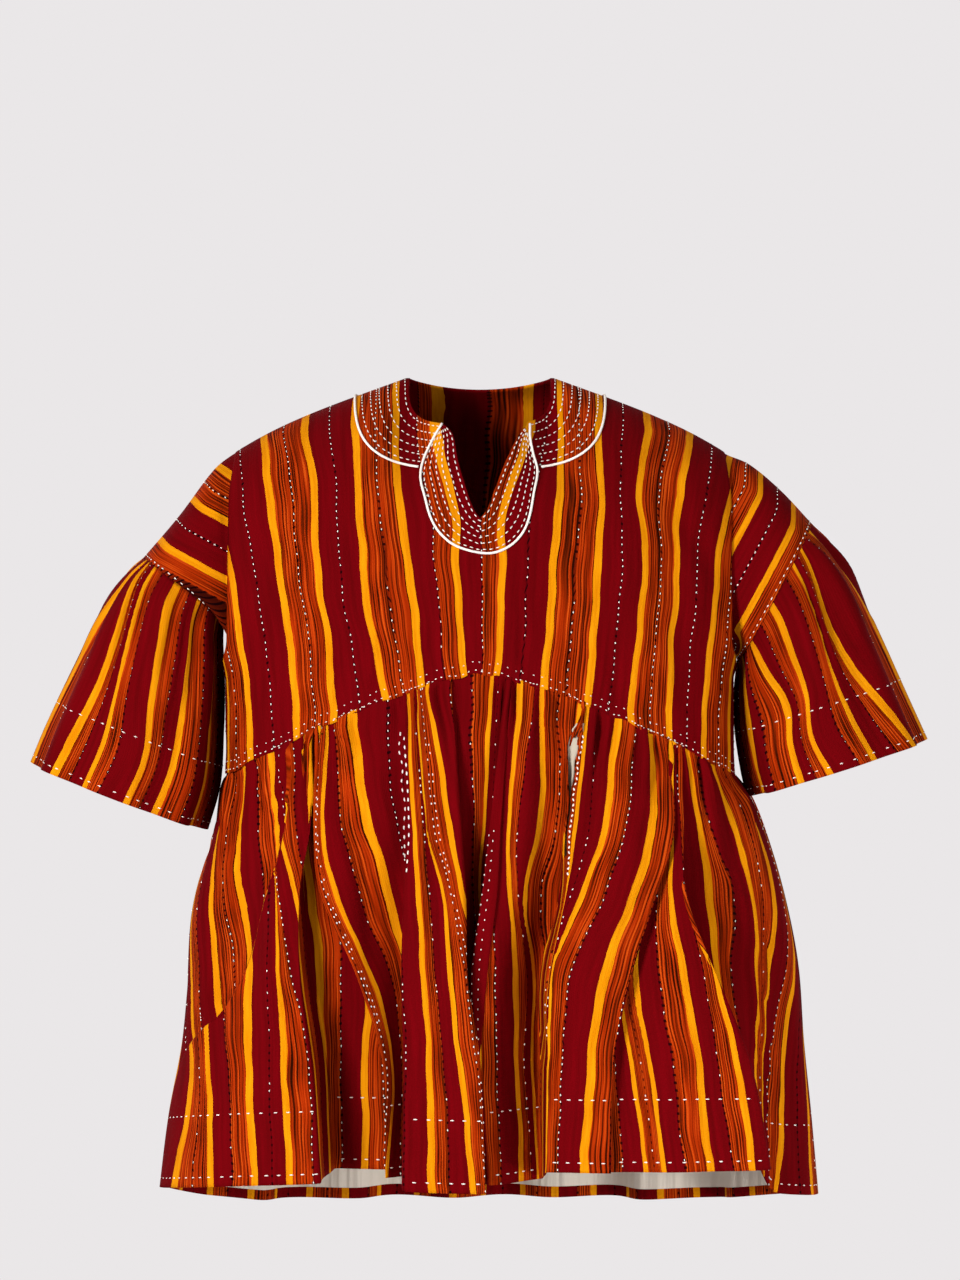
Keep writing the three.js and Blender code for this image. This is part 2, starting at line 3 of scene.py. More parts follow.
import bmesh
import bpy
import numpy as np
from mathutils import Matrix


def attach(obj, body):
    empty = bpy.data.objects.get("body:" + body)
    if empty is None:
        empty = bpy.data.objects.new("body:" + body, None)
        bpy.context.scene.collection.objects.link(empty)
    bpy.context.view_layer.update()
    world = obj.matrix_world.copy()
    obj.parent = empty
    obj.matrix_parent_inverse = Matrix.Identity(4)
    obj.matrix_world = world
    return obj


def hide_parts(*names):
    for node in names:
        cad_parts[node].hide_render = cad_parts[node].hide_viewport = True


# Fugu smock, worn: striped handwoven cotton strips sewn edge to edge, a plain yoke over a
# gathered skirt, drop shoulders with gathered sleeves. Lengths below are millimetres.
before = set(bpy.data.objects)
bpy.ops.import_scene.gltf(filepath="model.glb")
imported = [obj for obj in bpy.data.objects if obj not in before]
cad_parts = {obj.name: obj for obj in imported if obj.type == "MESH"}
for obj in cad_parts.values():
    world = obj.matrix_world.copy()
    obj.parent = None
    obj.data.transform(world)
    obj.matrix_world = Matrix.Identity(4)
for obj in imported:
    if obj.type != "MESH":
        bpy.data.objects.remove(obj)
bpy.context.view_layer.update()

clothThickness = 1.6
stripWidth = 42


def smoothstep(value, low, high):
    share = np.clip((value - low) / (high - low), 0, 1)
    return share * share * (3 - 2 * share)


def mix(a, b, share):
    return a + (b - a) * share


# A smooth value between the rows of a table, with knots in rising or falling order
def between(knots, values, at):
    knots, values = np.asarray(knots, float), np.asarray(values, float)
    if knots[0] > knots[-1]:
        knots, values = knots[::-1], values[::-1]
    at = np.clip(at, knots[0], knots[-1])
    last = len(knots) - 1
    index = np.arange(last + 1)
    below, above = np.maximum(index - 1, 0), np.minimum(index + 1, last)
    slopes = (values[above] - values[below]) / (knots[above] - knots[below])
    k = np.clip(np.searchsorted(knots, at, side="right") - 1, 0, last - 1)
    span = knots[k + 1] - knots[k]
    t = (at - knots[k]) / span
    rise = values[k + 1] - values[k]
    start, end = slopes[k] * span, slopes[k + 1] * span
    return values[k] + t * (start + t * (3 * rise - 2 * start - end + t * (start + end - 2 * rise)))


# The yoke over the shoulders: its ridge, its section from front to back, and its lower seam
body = {
    "neckHalfWidth": 67, "flatBesideNeck": 3, "frontNeckDrop": 47, "backNeckDrop": 8,
    "shoulderSlope": 0.36, "shoulderRound": 12, "shoulderReach": 232,
    "depth": {"front": 134, "back": 118}, "sectionPower": 0.45,
    "rounding": {"front": 216, "back": 50, "side": 100},
    "hollowByNeck": {"share": 0.4, "width": 22, "top": 30, "foot": 130},
    "yokeHalfWidth": 240, "armholeFullness": 8, "armholeAngle": 72,
    "underarmTop": -250, "underarmBottom": -288,
    "seamMiddle": {"front": -278, "back": -300}, "seamSide": -374,
}
# The neck slit: how far its two edges stand from the middle, at heights down the front
slit = {
    "z": [-46, -58, -80, -108, -127, -136],
    "left": [35, 25, 21, 13, 6, 0],
    "right": [46, 36, 25, 14, 7, 0],
}
# The skirt as seen from in front and from the side, from the seam to the hem
outline = {
    "z": [-374, -402, -450, -505, -560, -630, -700, -790],
    "left": [238, 244, 256, 270, 276, 283, 296, 307],
    "right": [240, 259, 278, 293, 303, 308, 315, 323],
    "front": [150, 158, 170, 181, 190, 201, 209, 217],
    "back": [134, 146, 160, 172, 181, 191, 199, 207],
}


def ridgeHeight(x):
    start = body["neckHalfWidth"] + body["flatBesideNeck"]
    past = np.maximum(np.abs(x) - start, 0)
    reach = body["shoulderReach"] - start
    return -body["shoulderSlope"] * past - body["shoulderRound"] * (past / reach) ** 4


def sectionHalfWidth(z):
    share = smoothstep(z, body["underarmBottom"], body["underarmTop"])
    return body["yokeHalfWidth"] + body["armholeFullness"] * share


def edgeAngle(z):
    share = smoothstep(z, body["underarmBottom"], body["underarmTop"])
    return np.radians(mix(90, body["armholeAngle"], share))


def yokeDepth(x, z, face):
    drop = np.maximum(ridgeHeight(x) - z, 0)
    angle = np.arcsin(np.clip(np.abs(x) / sectionHalfWidth(z), 0, 1))
    outwards = (x / body["shoulderReach"]) ** 2
    rounding = mix(body["rounding"][face], body["rounding"]["side"], outwards)
    hollow = 0
    if face == "front":
        dip = body["hollowByNeck"]
        beside = np.exp(-(((np.abs(x) - body["neckHalfWidth"]) / dip["width"]) ** 2))
        hollow = dip["share"] * beside * (1 - smoothstep(drop, dip["top"], dip["foot"]))
    depth = body["depth"][face] * np.cos(angle) ** body["sectionPower"] * (1 - hollow)
    return depth * np.sqrt(1 - np.exp(-2 * drop / rounding))


def yokePoint(x, z, face):
    forward = -1 if face == "front" else 1
    return np.stack(np.broadcast_arrays(x, forward * yokeDepth(x, z, face), z), -1).astype(float)


def seamHeight(x, face):
    share = np.clip(np.abs(x) / body["yokeHalfWidth"], 0, 1)
    return mix(body["seamMiddle"][face], body["seamSide"], share ** 1.35)


def topHeight(x, face):
    across = np.abs(x) / body["neckHalfWidth"]
    inside = np.clip(1 - across ** (2 if face == "back" else 4), 0, 1)
    if face == "back":
        neck = -body["backNeckDrop"] * inside
    else:
        neck = -body["frontNeckDrop"] * inside ** 0.25
        for lip, side in (("left", x < 0), ("right", x >= 0)):
            inSlit = side & (np.abs(x) < slit[lip][0])
            neck = np.where(inSlit, between(slit[lip], slit["z"], np.abs(x)), neck)
    return np.where(across >= 1, ridgeHeight(x), neck)


# A sheet of cloth is a grid, points[row, column]: rows run away from the neck and columns
# counterclockwise seen from above. strip, on the same grid, counts the woven strips across.
def outwardNormals(points):
    across, down = np.gradient(points, axis=1), np.gradient(points, axis=0)
    normal = np.cross(down, across)
    return normal / np.maximum(np.linalg.norm(normal, axis=-1, keepdims=True), 1e-9)


def lengthAlong(points):
    steps = np.linalg.norm(np.diff(points, axis=0), axis=-1)
    return np.concatenate([np.zeros_like(steps[:1]), np.cumsum(steps, axis=0)])


def smoothPath(places, count):
    places = np.array(places, float)
    knots = lengthAlong(places)
    at = np.linspace(0, knots[-1], count)
    return np.stack([between(knots, places[:, i], at) for i in range(places.shape[1])], 1)


# Soft troughs (negative height) and ridges, each from one place to another as x and z
def addCreases(points, creases):
    x, z = points[..., 0], points[..., 2]
    height = np.zeros_like(x)
    for crease in creases:
        start, end = np.array(crease["start"], float), np.array(crease["end"], float)
        line = end - start
        share = ((x - start[0]) * line[0] + (z - start[1]) * line[1]) / (line @ line)
        middle = np.clip(share, 0, 1)
        bend = crease.get("bend", 0) * np.sin(middle * np.pi)
        nearX = start[0] + line[0] * middle - line[1] / np.linalg.norm(line) * bend
        nearZ = start[1] + line[1] * middle + line[0] / np.linalg.norm(line) * bend
        away = np.hypot(x - nearX, z - nearZ) / crease["width"]
        fade = np.sin(np.pi * np.clip(middle * 0.9 + 0.05, 0, 1)) ** 0.6
        height += crease["height"] * np.exp(-away ** 2) * fade
    return points + outwardNormals(points) * height[..., None]


# Strips don't lie perfectly straight: the count wanders by a few hundredths
def wandering(points, strip, seed):
    z, phase = points[..., 2], np.random.default_rng(seed).uniform(0, 6.28, 3)
    slow = 0.018 * np.sin(z / 27 + strip * 1.3 + phase[0])
    slow += 0.014 * np.sin(z / 15 - strip * 2.1 + phase[1])
    return strip + slow + 0.009 * np.sin(z / 7.5 + strip * 2.9 + phase[2])


def linear(colour):
    parts = [int(colour[i:i + 2], 16) / 255 for i in (0, 2, 4)]
    return [p / 12.92 if p <= 0.04045 else ((p + 0.055) / 1.055) ** 2.4 for p in parts] + [1]


def addNode(tree, kind, inputs=None, **settings):
    node = tree.nodes.new(kind)
    for setting, value in settings.items():
        setattr(node, setting, value)
    for socket, value in (inputs or {}).items():
        if isinstance(value, bpy.types.NodeSocket):
            tree.links.new(value, node.inputs[socket])
        else:
            node.inputs[socket].default_value = value
    return node


def newMaterial(name, hexColour, roughness):
    material = bpy.data.materials.new(name)
    material.use_nodes = True
    shader = material.node_tree.nodes["Principled BSDF"]
    shader.inputs["Base Color"].default_value = linear(hexColour)
    shader.inputs["Roughness"].default_value = roughness
    return material, material.node_tree, shader


# Handwoven cotton: matt, with ribs that only show close by. Each strip is woven maroon,
# yellow and tie-dyed orange-brown from one selvedge to the other. Strips are sewn either
# way round: A starts with maroon and B with orange-brown. first is the first strip's count.
def stripedCotton(name, order, first=0):
    material, tree, shader = newMaterial(name, "5C0103", 0.9)

    def value(kind, *inputs):
        return addNode(tree, "ShaderNodeMath", dict(enumerate(inputs)), operation=kind).outputs[0]

    place = addNode(tree, "ShaderNodeUVMap", uv_map="strips").outputs[0]
    split = addNode(tree, "ShaderNodeSeparateXYZ", {0: place})
    across, along = split.outputs["X"], split.outputs["Y"]

    def noise(acrossSize, alongSize):
        sized = addNode(tree, "ShaderNodeCombineXYZ", {
            0: value("MULTIPLY", across, stripWidth / acrossSize),
            1: value("MULTIPLY", along, 1000 / alongSize),
        }).outputs[0]
        cloud = addNode(tree, "ShaderNodeTexNoise", {"Vector": sized, "Scale": 1.0, "Detail": 1.0})
        return cloud.outputs["Fac"]

    # hand weaving lets the edges of the stripes wander by less than a millimetre
    wander = value("MULTIPLY_ADD", noise(60, 16), 0.03, value("ADD", across, -0.015))
    share = value("FRACT", wander)
    ramp = addNode(tree, "ShaderNodeValToRGB", {
        0: value("DIVIDE", value("ADD", value("FLOOR", wander), 0.5 - first), float(len(order))),
    })
    stops = ramp.color_ramp.elements
    ramp.color_ramp.interpolation = "CONSTANT"
    stops.remove(stops[1])
    for index, way in enumerate(order):
        if index and order[index - 1] == way:
            continue
        stop = stops[0] if index == 0 else stops.new(index / len(order))
        stop.color = (1, 1, 1, 1) if way == "B" else (0, 0, 0, 1)
    turned = ramp.outputs["Color"]
    band = value("MULTIPLY_ADD", share, value("MULTIPLY_ADD", turned, -2.0, 1.0), turned)
    yellow, ikat = value("GREATER_THAN", band, 0.475), value("GREATER_THAN", band, 0.635)

    def shades(fac, *colours):
        node = addNode(tree, "ShaderNodeValToRGB", {0: fac})
        elements = node.color_ramp.elements
        elements.remove(elements[1])
        for index, (position, colour) in enumerate(colours):
            element = elements[0] if index == 0 else elements.new(position)
            element.position = position
            element.color = linear(colour)
        return node.outputs["Color"]

    # the tie-dyed threads run along the strip as fine dark and bright lines, some 3 mm
    # apart: coarser than single threads, which would be too fine to see
    def threads(spacing, drift):
        turn = value("MULTIPLY", drift, 16.0)
        return value("SINE", value("MULTIPLY_ADD", across, stripWidth * 2 * math.pi / spacing, turn))

    lines = value("ADD", threads(3.3, noise(7, 320)), threads(2.3, noise(5, 170)))
    blotches = value("MULTIPLY_ADD", noise(12, 60), 0.5, value("MULTIPLY", noise(1.2, 120), 0.5))
    tone = value("MULTIPLY_ADD", lines, 0.13, blotches)
    darkest, dark, middle, bright, brightest = "220600", "5A1500", "801E00", "972A04", "B0430B"
    orange = shades(tone, (0.24, darkest), (0.38, dark), (0.5, middle), (0.64, bright), (0.82, brightest))
    maroon = shades(noise(5, 90), (0.3, "520104"), (0.7, "5F0106"))
    gold = shades(noise(3, 40), (0.3, "BA6E02"), (0.7, "CA8006"))

    def blend(fac, a, b):
        return addNode(tree, "ShaderNodeMix", {0: fac, 6: a, 7: b}, data_type="RGBA").outputs[2]

    colour = blend(ikat, blend(yellow, maroon, gold), orange)
    # where two strips are sewn the stitch pulls the selvedges in, with a dark hole
    # between one stitch and the next, every 7 mm
    offSeam = value("ABSOLUTE", value("ADD", value("FRACT", across), -0.5))
    seam = addNode(tree, "ShaderNodeMapRange", {0: offSeam, 1: 0.475, 2: 0.497}).outputs[0]
    beat = value("ABSOLUTE", value("ADD", value("FRACT", value("MULTIPLY", along, 1000 / 7)), -0.5))
    hole = value("MULTIPLY", value("GREATER_THAN", offSeam, 0.472), value("LESS_THAN", beat, 0.17))
    colour = blend(value("MULTIPLY", seam, 0.5), colour, linear("220004"))
    colour = blend(value("MULTIPLY", hole, 0.92), colour, linear("0C0002"))
    tree.links.new(colour, shader.inputs["Base Color"])

    # ribs of the weave, drawn at 1.4 mm: the real threads are half that
    warp = value("SINE", value("MULTIPLY", across, stripWidth * 2 * math.pi / 1.4))
    weft = value("SINE", value("MULTIPLY", along, 1000 * 2 * math.pi / 1.6))
    fibres = value("MULTIPLY_ADD", weft, 0.3, value("MULTIPLY", noise(2.4, 5), 1.4))
    weave = value("MULTIPLY_ADD", warp, 0.5, fibres)
    height = value("MULTIPLY_ADD", seam, -2.5, weave)
    bump = addNode(tree, "ShaderNodeBump", {"Strength": 0.35, "Distance": 0.0004, "Height": height})
    tree.links.new(bump.outputs[0], shader.inputs["Normal"])
    shader.inputs["Specular IOR Level"].default_value = 0.02
    return material


# Plain cotton, spun and undyed: matt, with a fine fleck some fleckSize across. creaseDepth,
# in metres, is that of the upright creases of unpressed cloth, some 12 mm apart.
def plainCotton(name, hexColour, fleckSize, creaseDepth=0.0):
    material, tree, shader = newMaterial(name, hexColour, 0.85)
    place = addNode(tree, "ShaderNodeTexCoord").outputs["Object"]
    fleck = addNode(tree, "ShaderNodeTexNoise", {"Vector": place, "Scale": 1000 / fleckSize, "Detail": 2.0})
    fleck = fleck.outputs["Fac"]
    bump = addNode(tree, "ShaderNodeBump", {"Strength": 0.3, "Distance": 0.0005, "Height": fleck})
    if creaseDepth:
        perMetre = (85, 20, 7)
        upright = addNode(tree, "ShaderNodeMapping", {"Vector": place, "Scale": perMetre}).outputs[0]
        creased = addNode(tree, "ShaderNodeTexNoise", {"Vector": upright, "Scale": 1.0, "Detail": 1.5})
        bump = addNode(tree, "ShaderNodeBump", {
            "Strength": 1.0, "Distance": creaseDepth,
            "Height": creased.outputs["Fac"], "Normal": bump.outputs[0],
        })
    tree.links.new(bump.outputs[0], shader.inputs["Normal"])
    shader.inputs["Specular IOR Level"].default_value = 0.25
    return material


skirtFrontOrder = "BABAABBAABBAAAABBAABBBAAABAAAABBBBAABBABAB"
cotton = {
    "yoke": stripedCotton("handwoven cotton yoke", "ABABABABBBABABABAB", first=-3),
    "skirtFront": stripedCotton("handwoven cotton skirt front", skirtFrontOrder, first=-8),
    "skirtBack": stripedCotton("handwoven cotton skirt back", "BAABBABBAABABBAABABBAABABBAABBAB"),
    "shoulder": stripedCotton("handwoven cotton drop shoulder", "ABAA"),
    "sleeve": stripedCotton("handwoven cotton sleeve", "A"),
}
# the pocket lining and the facing are one undyed cotton: the lining's colour is darkened as painted shade,
# and the facing's is made paler as painted light
lining = plainCotton("undyed cotton lining in painted shade", "B4A896", 10 / 9, creaseDepth=0.004)
facing = plainCotton("undyed cotton facing in painted light", "CCC2B4", 10 / 9, creaseDepth=0.01)
thread = plainCotton("white cotton thread", "DCD4CC", 2 / 3)


# A sheet of cloth from its grid. The strip count and the length down the cloth are its UV map.
# missing marks the places where it is open. cuts says, for some columns, which counts the
# faces right of that column have at their two edges, where a fold's cloth isn't followed on.
def clothObject(name, points, strip, materials, closed=False, missing=None, cuts=None):
    rows, columns = points.shape[:2]
    along = lengthAlong(points)
    bm = bmesh.new()
    bmesh.ops.create_grid(bm, x_segments=columns - 1, y_segments=rows - 1, size=1)
    bm.verts.ensure_lookup_table()
    places = (points[::-1] / 1000).reshape(-1, 3)
    texture = np.stack([strip, along / 1000], -1)[::-1].reshape(-1, 2)
    for vert, place in zip(bm.verts, places):
        vert.co = place
    layer = bm.loops.layers.uv.new("strips")
    for face in bm.faces:
        face.smooth = True
        left = min(vert.index % columns for vert in face.verts)
        for loop in face.loops:
            loop[layer].uv = texture[loop.vert.index]
            if cuts and left in cuts:
                row, column = divmod(loop.vert.index, columns)
                loop[layer].uv.x = cuts[left][column - left][rows - 1 - row]
    if missing is not None:
        openAt = missing[::-1].reshape(-1)
        gone = [face for face in bm.faces if all(openAt[vert.index] for vert in face.verts)]
        bmesh.ops.delete(bm, geom=gone, context="FACES")
    if closed:
        bmesh.ops.remove_doubles(bm, verts=bm.verts, dist=1e-6)
    mesh = bpy.data.meshes.new(name)
    bm.to_mesh(mesh)
    bm.free()
    for material in materials:
        mesh.materials.append(material)
    piece = bpy.data.objects.new(name, mesh)
    bpy.context.scene.collection.objects.link(piece)
    wall = piece.modifiers.new("wall", "SOLIDIFY")
    wall.thickness = clothThickness / 1000
    wall.offset = -1
    if len(materials) > 1:
        wall.material_offset = 1
    return piece


# A stitch is a bead of thread standing on the cloth
def beadShape():
    bm = bmesh.new()
    bmesh.ops.create_icosphere(bm, subdivisions=1, radius=1)
    verts = np.array([v.co for v in bm.verts])
    faces = np.array([[v.index for v in f.verts] for f in bm.faces])
    bm.free()
    return verts, faces


bead = beadShape()


def sampled(grid, row, column):
    row = np.clip(row, 0, grid.shape[0] - 1.001)
    column = np.clip(column, 0, grid.shape[1] - 1.001)
    r, c = row.astype(int), column.astype(int)
    dr, dc = (row - r)[:, None], (column - c)[:, None]
    top = mix(grid[r, c], grid[r, c + 1], dc)
    low = mix(grid[r + 1, c], grid[r + 1, c + 1], dc)
    return mix(top, low, dr)


# at: how far along the path each stitch lies, out: which way it stands up, size: half its
# length, width and height
def stitchesAt(path, length, at, out, size):
    def onPath(where):
        return np.stack([np.interp(where, length, path[:, i]) for i in range(3)], -1)

    nudge = 0.8
    aheads = onPath(at + nudge) - onPath(at - nudge)
    return [(here, ahead, up, size) for here, ahead, up in zip(onPath(at), aheads, out)]


# Stitches along a line of fractional rows and columns
def stitchLine(points, normals, rows, columns, at, size):
    rows, columns = np.asarray(rows, float), np.asarray(columns, float)
    line = sampled(points, rows, columns)
    length = lengthAlong(line)
    if callable(at):
        at = at(length)
    at = at[(at >= 0) & (at <= length[-1])]
    out = sampled(normals, np.interp(at, length, rows), np.interp(at, length, columns))
    return stitchesAt(line, length, at, out, size)


def stitchObject(name, stitches):
    verts, faces = bead
    allVerts, allFaces = [], []
    for index, (here, ahead, out, size) in enumerate(stitches):
        ahead = ahead / max(np.linalg.norm(ahead), 1e-6)
        out = out - ahead * (out @ ahead)
        out = out / max(np.linalg.norm(out), 1e-6)
        side = np.cross(out, ahead)
        shape = verts * np.array(size)
        allVerts.append(here + out * size[2] * 0.4 + shape @ np.stack([ahead, side, out]))
        allFaces.append(faces + index * len(verts))
    mesh = bpy.data.meshes.new(name)
    mesh.from_pydata((np.concatenate(allVerts) / 1000).tolist(), [], np.concatenate(allFaces).tolist())
    mesh.shade_smooth()
    mesh.materials.append(thread)
    piece = bpy.data.objects.new(name, mesh)
    bpy.context.scene.collection.objects.link(piece)
    return piece


# Stitches down each seam between two strips, inside a run of columns. kept says how many of a
# seam's stitches are seen, as a share, and usual is the share on the seams it doesn't list.
def seamStitches(points, strip, first, last, size=(1.15, 0.6, 0.45), kept=None, usual=0.86):
    normals, along = outwardNormals(points), lengthAlong(points)
    shake = np.random.default_rng(first + last)
    pitch = 7
    found = []
    part = strip[:, first:last + 1]
    for count in range(math.floor(part.min()) + 1, math.ceil(part.max())):
        rows, columns = [], []
        for row, values in enumerate(part):
            crossing = np.nonzero((values[:-1] - count) * (values[1:] - count) <= 0)[0]
            if len(crossing) and values[crossing[0] + 1] != values[crossing[0]]:
                k = crossing[0]
                rows.append(row)
                columns.append(first + k + (count - values[k]) / (values[k + 1] - values[k]))
            elif len(rows) > 3:
                break
            else:
                rows, columns = [], []
        if len(rows) < 6:
            continue
        rows, columns = np.array(rows), np.array(columns)
        depth = sampled(along[..., None], rows, columns)[:, 0]
        beats = np.arange(math.ceil(depth[0] / pitch) + 0.5, depth[-1] / pitch) * pitch
        beats = beats[shake.uniform(0, 1, len(beats)) < (kept or {}).get(count, usual)]
        beats = beats + shake.normal(0, 0.35, len(beats))
        length = lengthAlong(sampled(points, rows, columns))
        found += stitchLine(points, normals, rows, columns, np.interp(beats, depth, length), size)
    return found


# A running stitch across the grid, a distance above its last row
def hemStitches(points, above, first, last, pitch, size, seed=1):
    along, normals = lengthAlong(points), outwardNormals(points)
    columns = np.arange(first, last + 1)
    rows = [np.interp(along[-1, c] - above, along[:, c], np.arange(len(points))) for c in columns]
    shake = np.random.default_rng(seed)

    def places(length):
        steps = np.arange(pitch * 0.5, length[-1], pitch)
        return steps + shake.uniform(-0.18, 0.18, len(steps)) * pitch

    return stitchLine(points, normals, rows, columns, places, size)


def declare(piece, node):
    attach(piece, "root")
    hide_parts(node)


# stitches lie on top of the cloth, and stand for no solid
def declareStitches(piece):
    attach(piece, "root")


print("yoke")
# How far the yoke's columns stand from the middle, at its top and at the gathered seam
yokeColumns = {
    "top": [0, 7, 14, 24, 35, 46, 57, 64, 67, 80, 97, 114, 132, 150, 168, 192, 210, 223],
    "seam": [0, 13, 26, 39, 52, 65, 79, 93, 107, 120, 133, 146, 160, 174, 188, 210, 226.5, 236.6],
}
# Where the middle of each strip's yellow stripe runs on the front, down the yoke
yokeStripes = {
    "z": [-53, -82, -110, -138, -175, -212, -249, -286, -314],
    0.445: [-256, -250, -245, -243, -237, -229, -224, -218, -215],
    1.555: [-207, -201, -197, -193, -187, -183, -178, -172, -170],
    2.445: [-165, -159, -155, -154, -150, -148, -140, -140, -136],
    3.555: [-116, -115, -114, -112, -109, -105, -98, -92, -85],
    4.445: [-79, -78, -75, -74, -68, -61, -58, -54, -50],
    5.445: [-45, -36, -29, -21, -23, -21, -17, -13, -12],
    6.445: [50, 37, 28, 21, 21, 19, 18, 14, 13],
    7.555: [75, 75, 74, 71, 69, 67, 62, 59, 56],
    8.445: [112, 112, 113, 112, 110, 108, 106, 102, 97],
    9.555: [158, 152, 148, 151, 153, 151, 148, 142, 140],
    10.445: [198, 193, 189, 183, 183, 182, 177, 179, 176],
    11.555: [244, 241, 237, 230, 223, 219, 215, 211, 209],
}
yokeCreases = {
    "front": [
        {"start": (-150, -40), "end": (-214, -190), "width": 15, "height": -4.5, "bend": 8},
        {"start": (-222, -120), "end": (-232, -330), "width": 10, "height": 3},
        {"start": (-205, -200), "end": (-165, -320), "width": 17, "height": -3, "bend": -6},
        {"start": (-120, -120), "end": (-150, -300), "width": 20, "height": 2.5},
        {"start": (165, -60), "end": (222, -190), "width": 13, "height": -5, "bend": -8},
        {"start": (170, -110), "end": (186, -300), "width": 10, "height": -4.5, "bend": 6},
        {"start": (218, -230), "end": (180, -345), "width": 14, "height": -3},
        {"start": (130, -90), "end": (150, -290), "width": 20, "height": 2.5},
        {"start": (75, -120), "end": (60, -270), "width": 15, "height": -2},
        {"start": (-70, -110), "end": (-50, -270), "width": 15, "height": -2},
        {"start": (-180, -290), "end": (-186, -350), "width": 6, "height": -3},
        {"start": (-128, -262), "end": (-134, -322), "width": 6, "height": -3.5},
        {"start": (-92, -250), "end": (-96, -306), "width": 5, "height": -3},
        {"start": (-44, -238), "end": (-46, -290), "width": 6, "height": -3},
        {"start": (38, -240), "end": (42, -290), "width": 6, "height": -3},
        {"start": (84, -250), "end": (88, -302), "width": 5, "height": -3.5},
        {"start": (122, -262), "end": (128, -318), "width": 6, "height": -3},
        {"start": (168, -286), "end": (176, -346), "width": 6, "height": -3},
    ],
    "back": [
        {"start": (-140, -60), "end": (-212, -210), "width": 16, "height": -3, "bend": 6},
        {"start": (150, -50), "end": (220, -200), "width": 16, "height": -3.5, "bend": -8},
        {"start": (-40, -60), "end": (-60, -280), "width": 20, "height": -2},
        {"start": (60, -80), "end": (40, -270), "width": 20, "height": 2},
        {"start": (-150, -280), "end": (-156, -340), "width": 7, "height": -3},
        {"start": (-90, -262), "end": (-94, -322), "width": 6, "height": -3},
        {"start": (-20, -252), "end": (-22, -302), "width": 6, "height": -3.5},
        {"start": (48, -256), "end": (50, -308), "width": 6, "height": -3},
        {"start": (110, -268), "end": (114, -326), "width": 7, "height": -3},
        {"start": (176, -290), "end": (182, -348), "width": 6, "height": -3},
    ],
}


def yokeGrid(face):
    knots = np.arange(len(yokeColumns["top"]))
    # finer round the slit
    steps = [np.linspace(k, k + 1, 9 if k < 5 else 5)[:-1] for k in knots[:-1]]
    parts = np.concatenate([*steps, knots[-1:]])
    tops = np.interp(parts, knots, yokeColumns["top"])
    seams = np.interp(parts, knots, yokeColumns["seam"])
    tops, seams = np.concatenate([-tops[:0:-1], tops]), np.concatenate([-seams[:0:-1], seams])
    share = (np.arange(91) / 90)[:, None] ** 1.15
    # the yoke's hem laps a little over the skirt, unevenly
    lap = 1.2
    uneven = 1.3 * (1 + np.sin(seams / 6.1 + 2 * np.sin(seams / 19)))
    x = mix(tops, seams, share)
    z = mix(topHeight(tops, face), seamHeight(seams, face) - lap - uneven, share)
    edgeZ = mix(float(ridgeHeight(body["shoulderReach"])), body["seamSide"] - lap, share)
    full = sectionHalfWidth(edgeZ) * np.sin(edgeAngle(edgeZ))
    full[0] = body["shoulderReach"]
    reach = mix(body["shoulderReach"], full, smoothstep(share, 0, 0.16))
    out = np.linspace(0, 1, 6)[1:]
    rightX, rightZ = mix(x[:, -1:], reach, out), mix(z[:, -1:], edgeZ, out)
    leftX, leftZ = mix(x[:, :1], -reach, out)[:, ::-1], mix(z[:, :1], edgeZ, out)[:, ::-1]
    x, z = np.hstack([leftX, x, rightX]), np.hstack([leftZ, z, rightZ])
    points = yokePoint(x, z, face)
    points = addCreases(points if face == "front" else points[:, ::-1], yokeCreases[face])
    lifted = 0.9 * smoothstep(share, 0.93, 1)
    return points + outwardNormals(points) * lifted[..., None]


def yokeStrips(points, face):
    counts = [key for key in yokeStripes if key != "z"]
    x, z = points[..., 0], points[..., 2]
    tracks = []
    for count in counts:
        track = between(yokeStripes["z"], yokeStripes[count], z)
        if face == "back":
            # the same strips come over the shoulder and hang straight down the back
            straight = (stripWidth - 2) * (count - len(counts) / 2)
            track = mix(yokeStripes[count][0], straight, smoothstep(-z, 20, 220))
        tracks.append(track)
    strip = np.zeros_like(x)
    for low, high, first, last in zip(tracks, tracks[1:], counts, counts[1:]):
        inside = (x >= low) & (x < high)
        strip = np.where(inside, first + (last - first) * (x - low) / (high - low), strip)
    # past the outermost stripes the cloth turns round to the side seam
    for track, count, way in ((tracks[0], counts[0], -1), (tracks[-1], counts[-1], 1)):
        away = np.hypot(x - track, yokeDepth(x, z, face) - yokeDepth(track, z, face))
        strip = np.where((x - track) * way >= 0, count + way * away / stripWidth, strip)
    return strip


yokes = {}
for face, flat in (("front", (0.52, 0.34)), ("back", (0.52, 0.36))):
    points = yokeGrid(face)
    strip = wandering(points, yokeStrips(points, face), 5)
    piece = clothObject(f"yoke_{face}_cloth", points, strip, [cotton["yoke"]])
    declare(piece, f"yoke_{face}")
    yokes[face] = {"points": points, "strip": strip}


print("skirt")
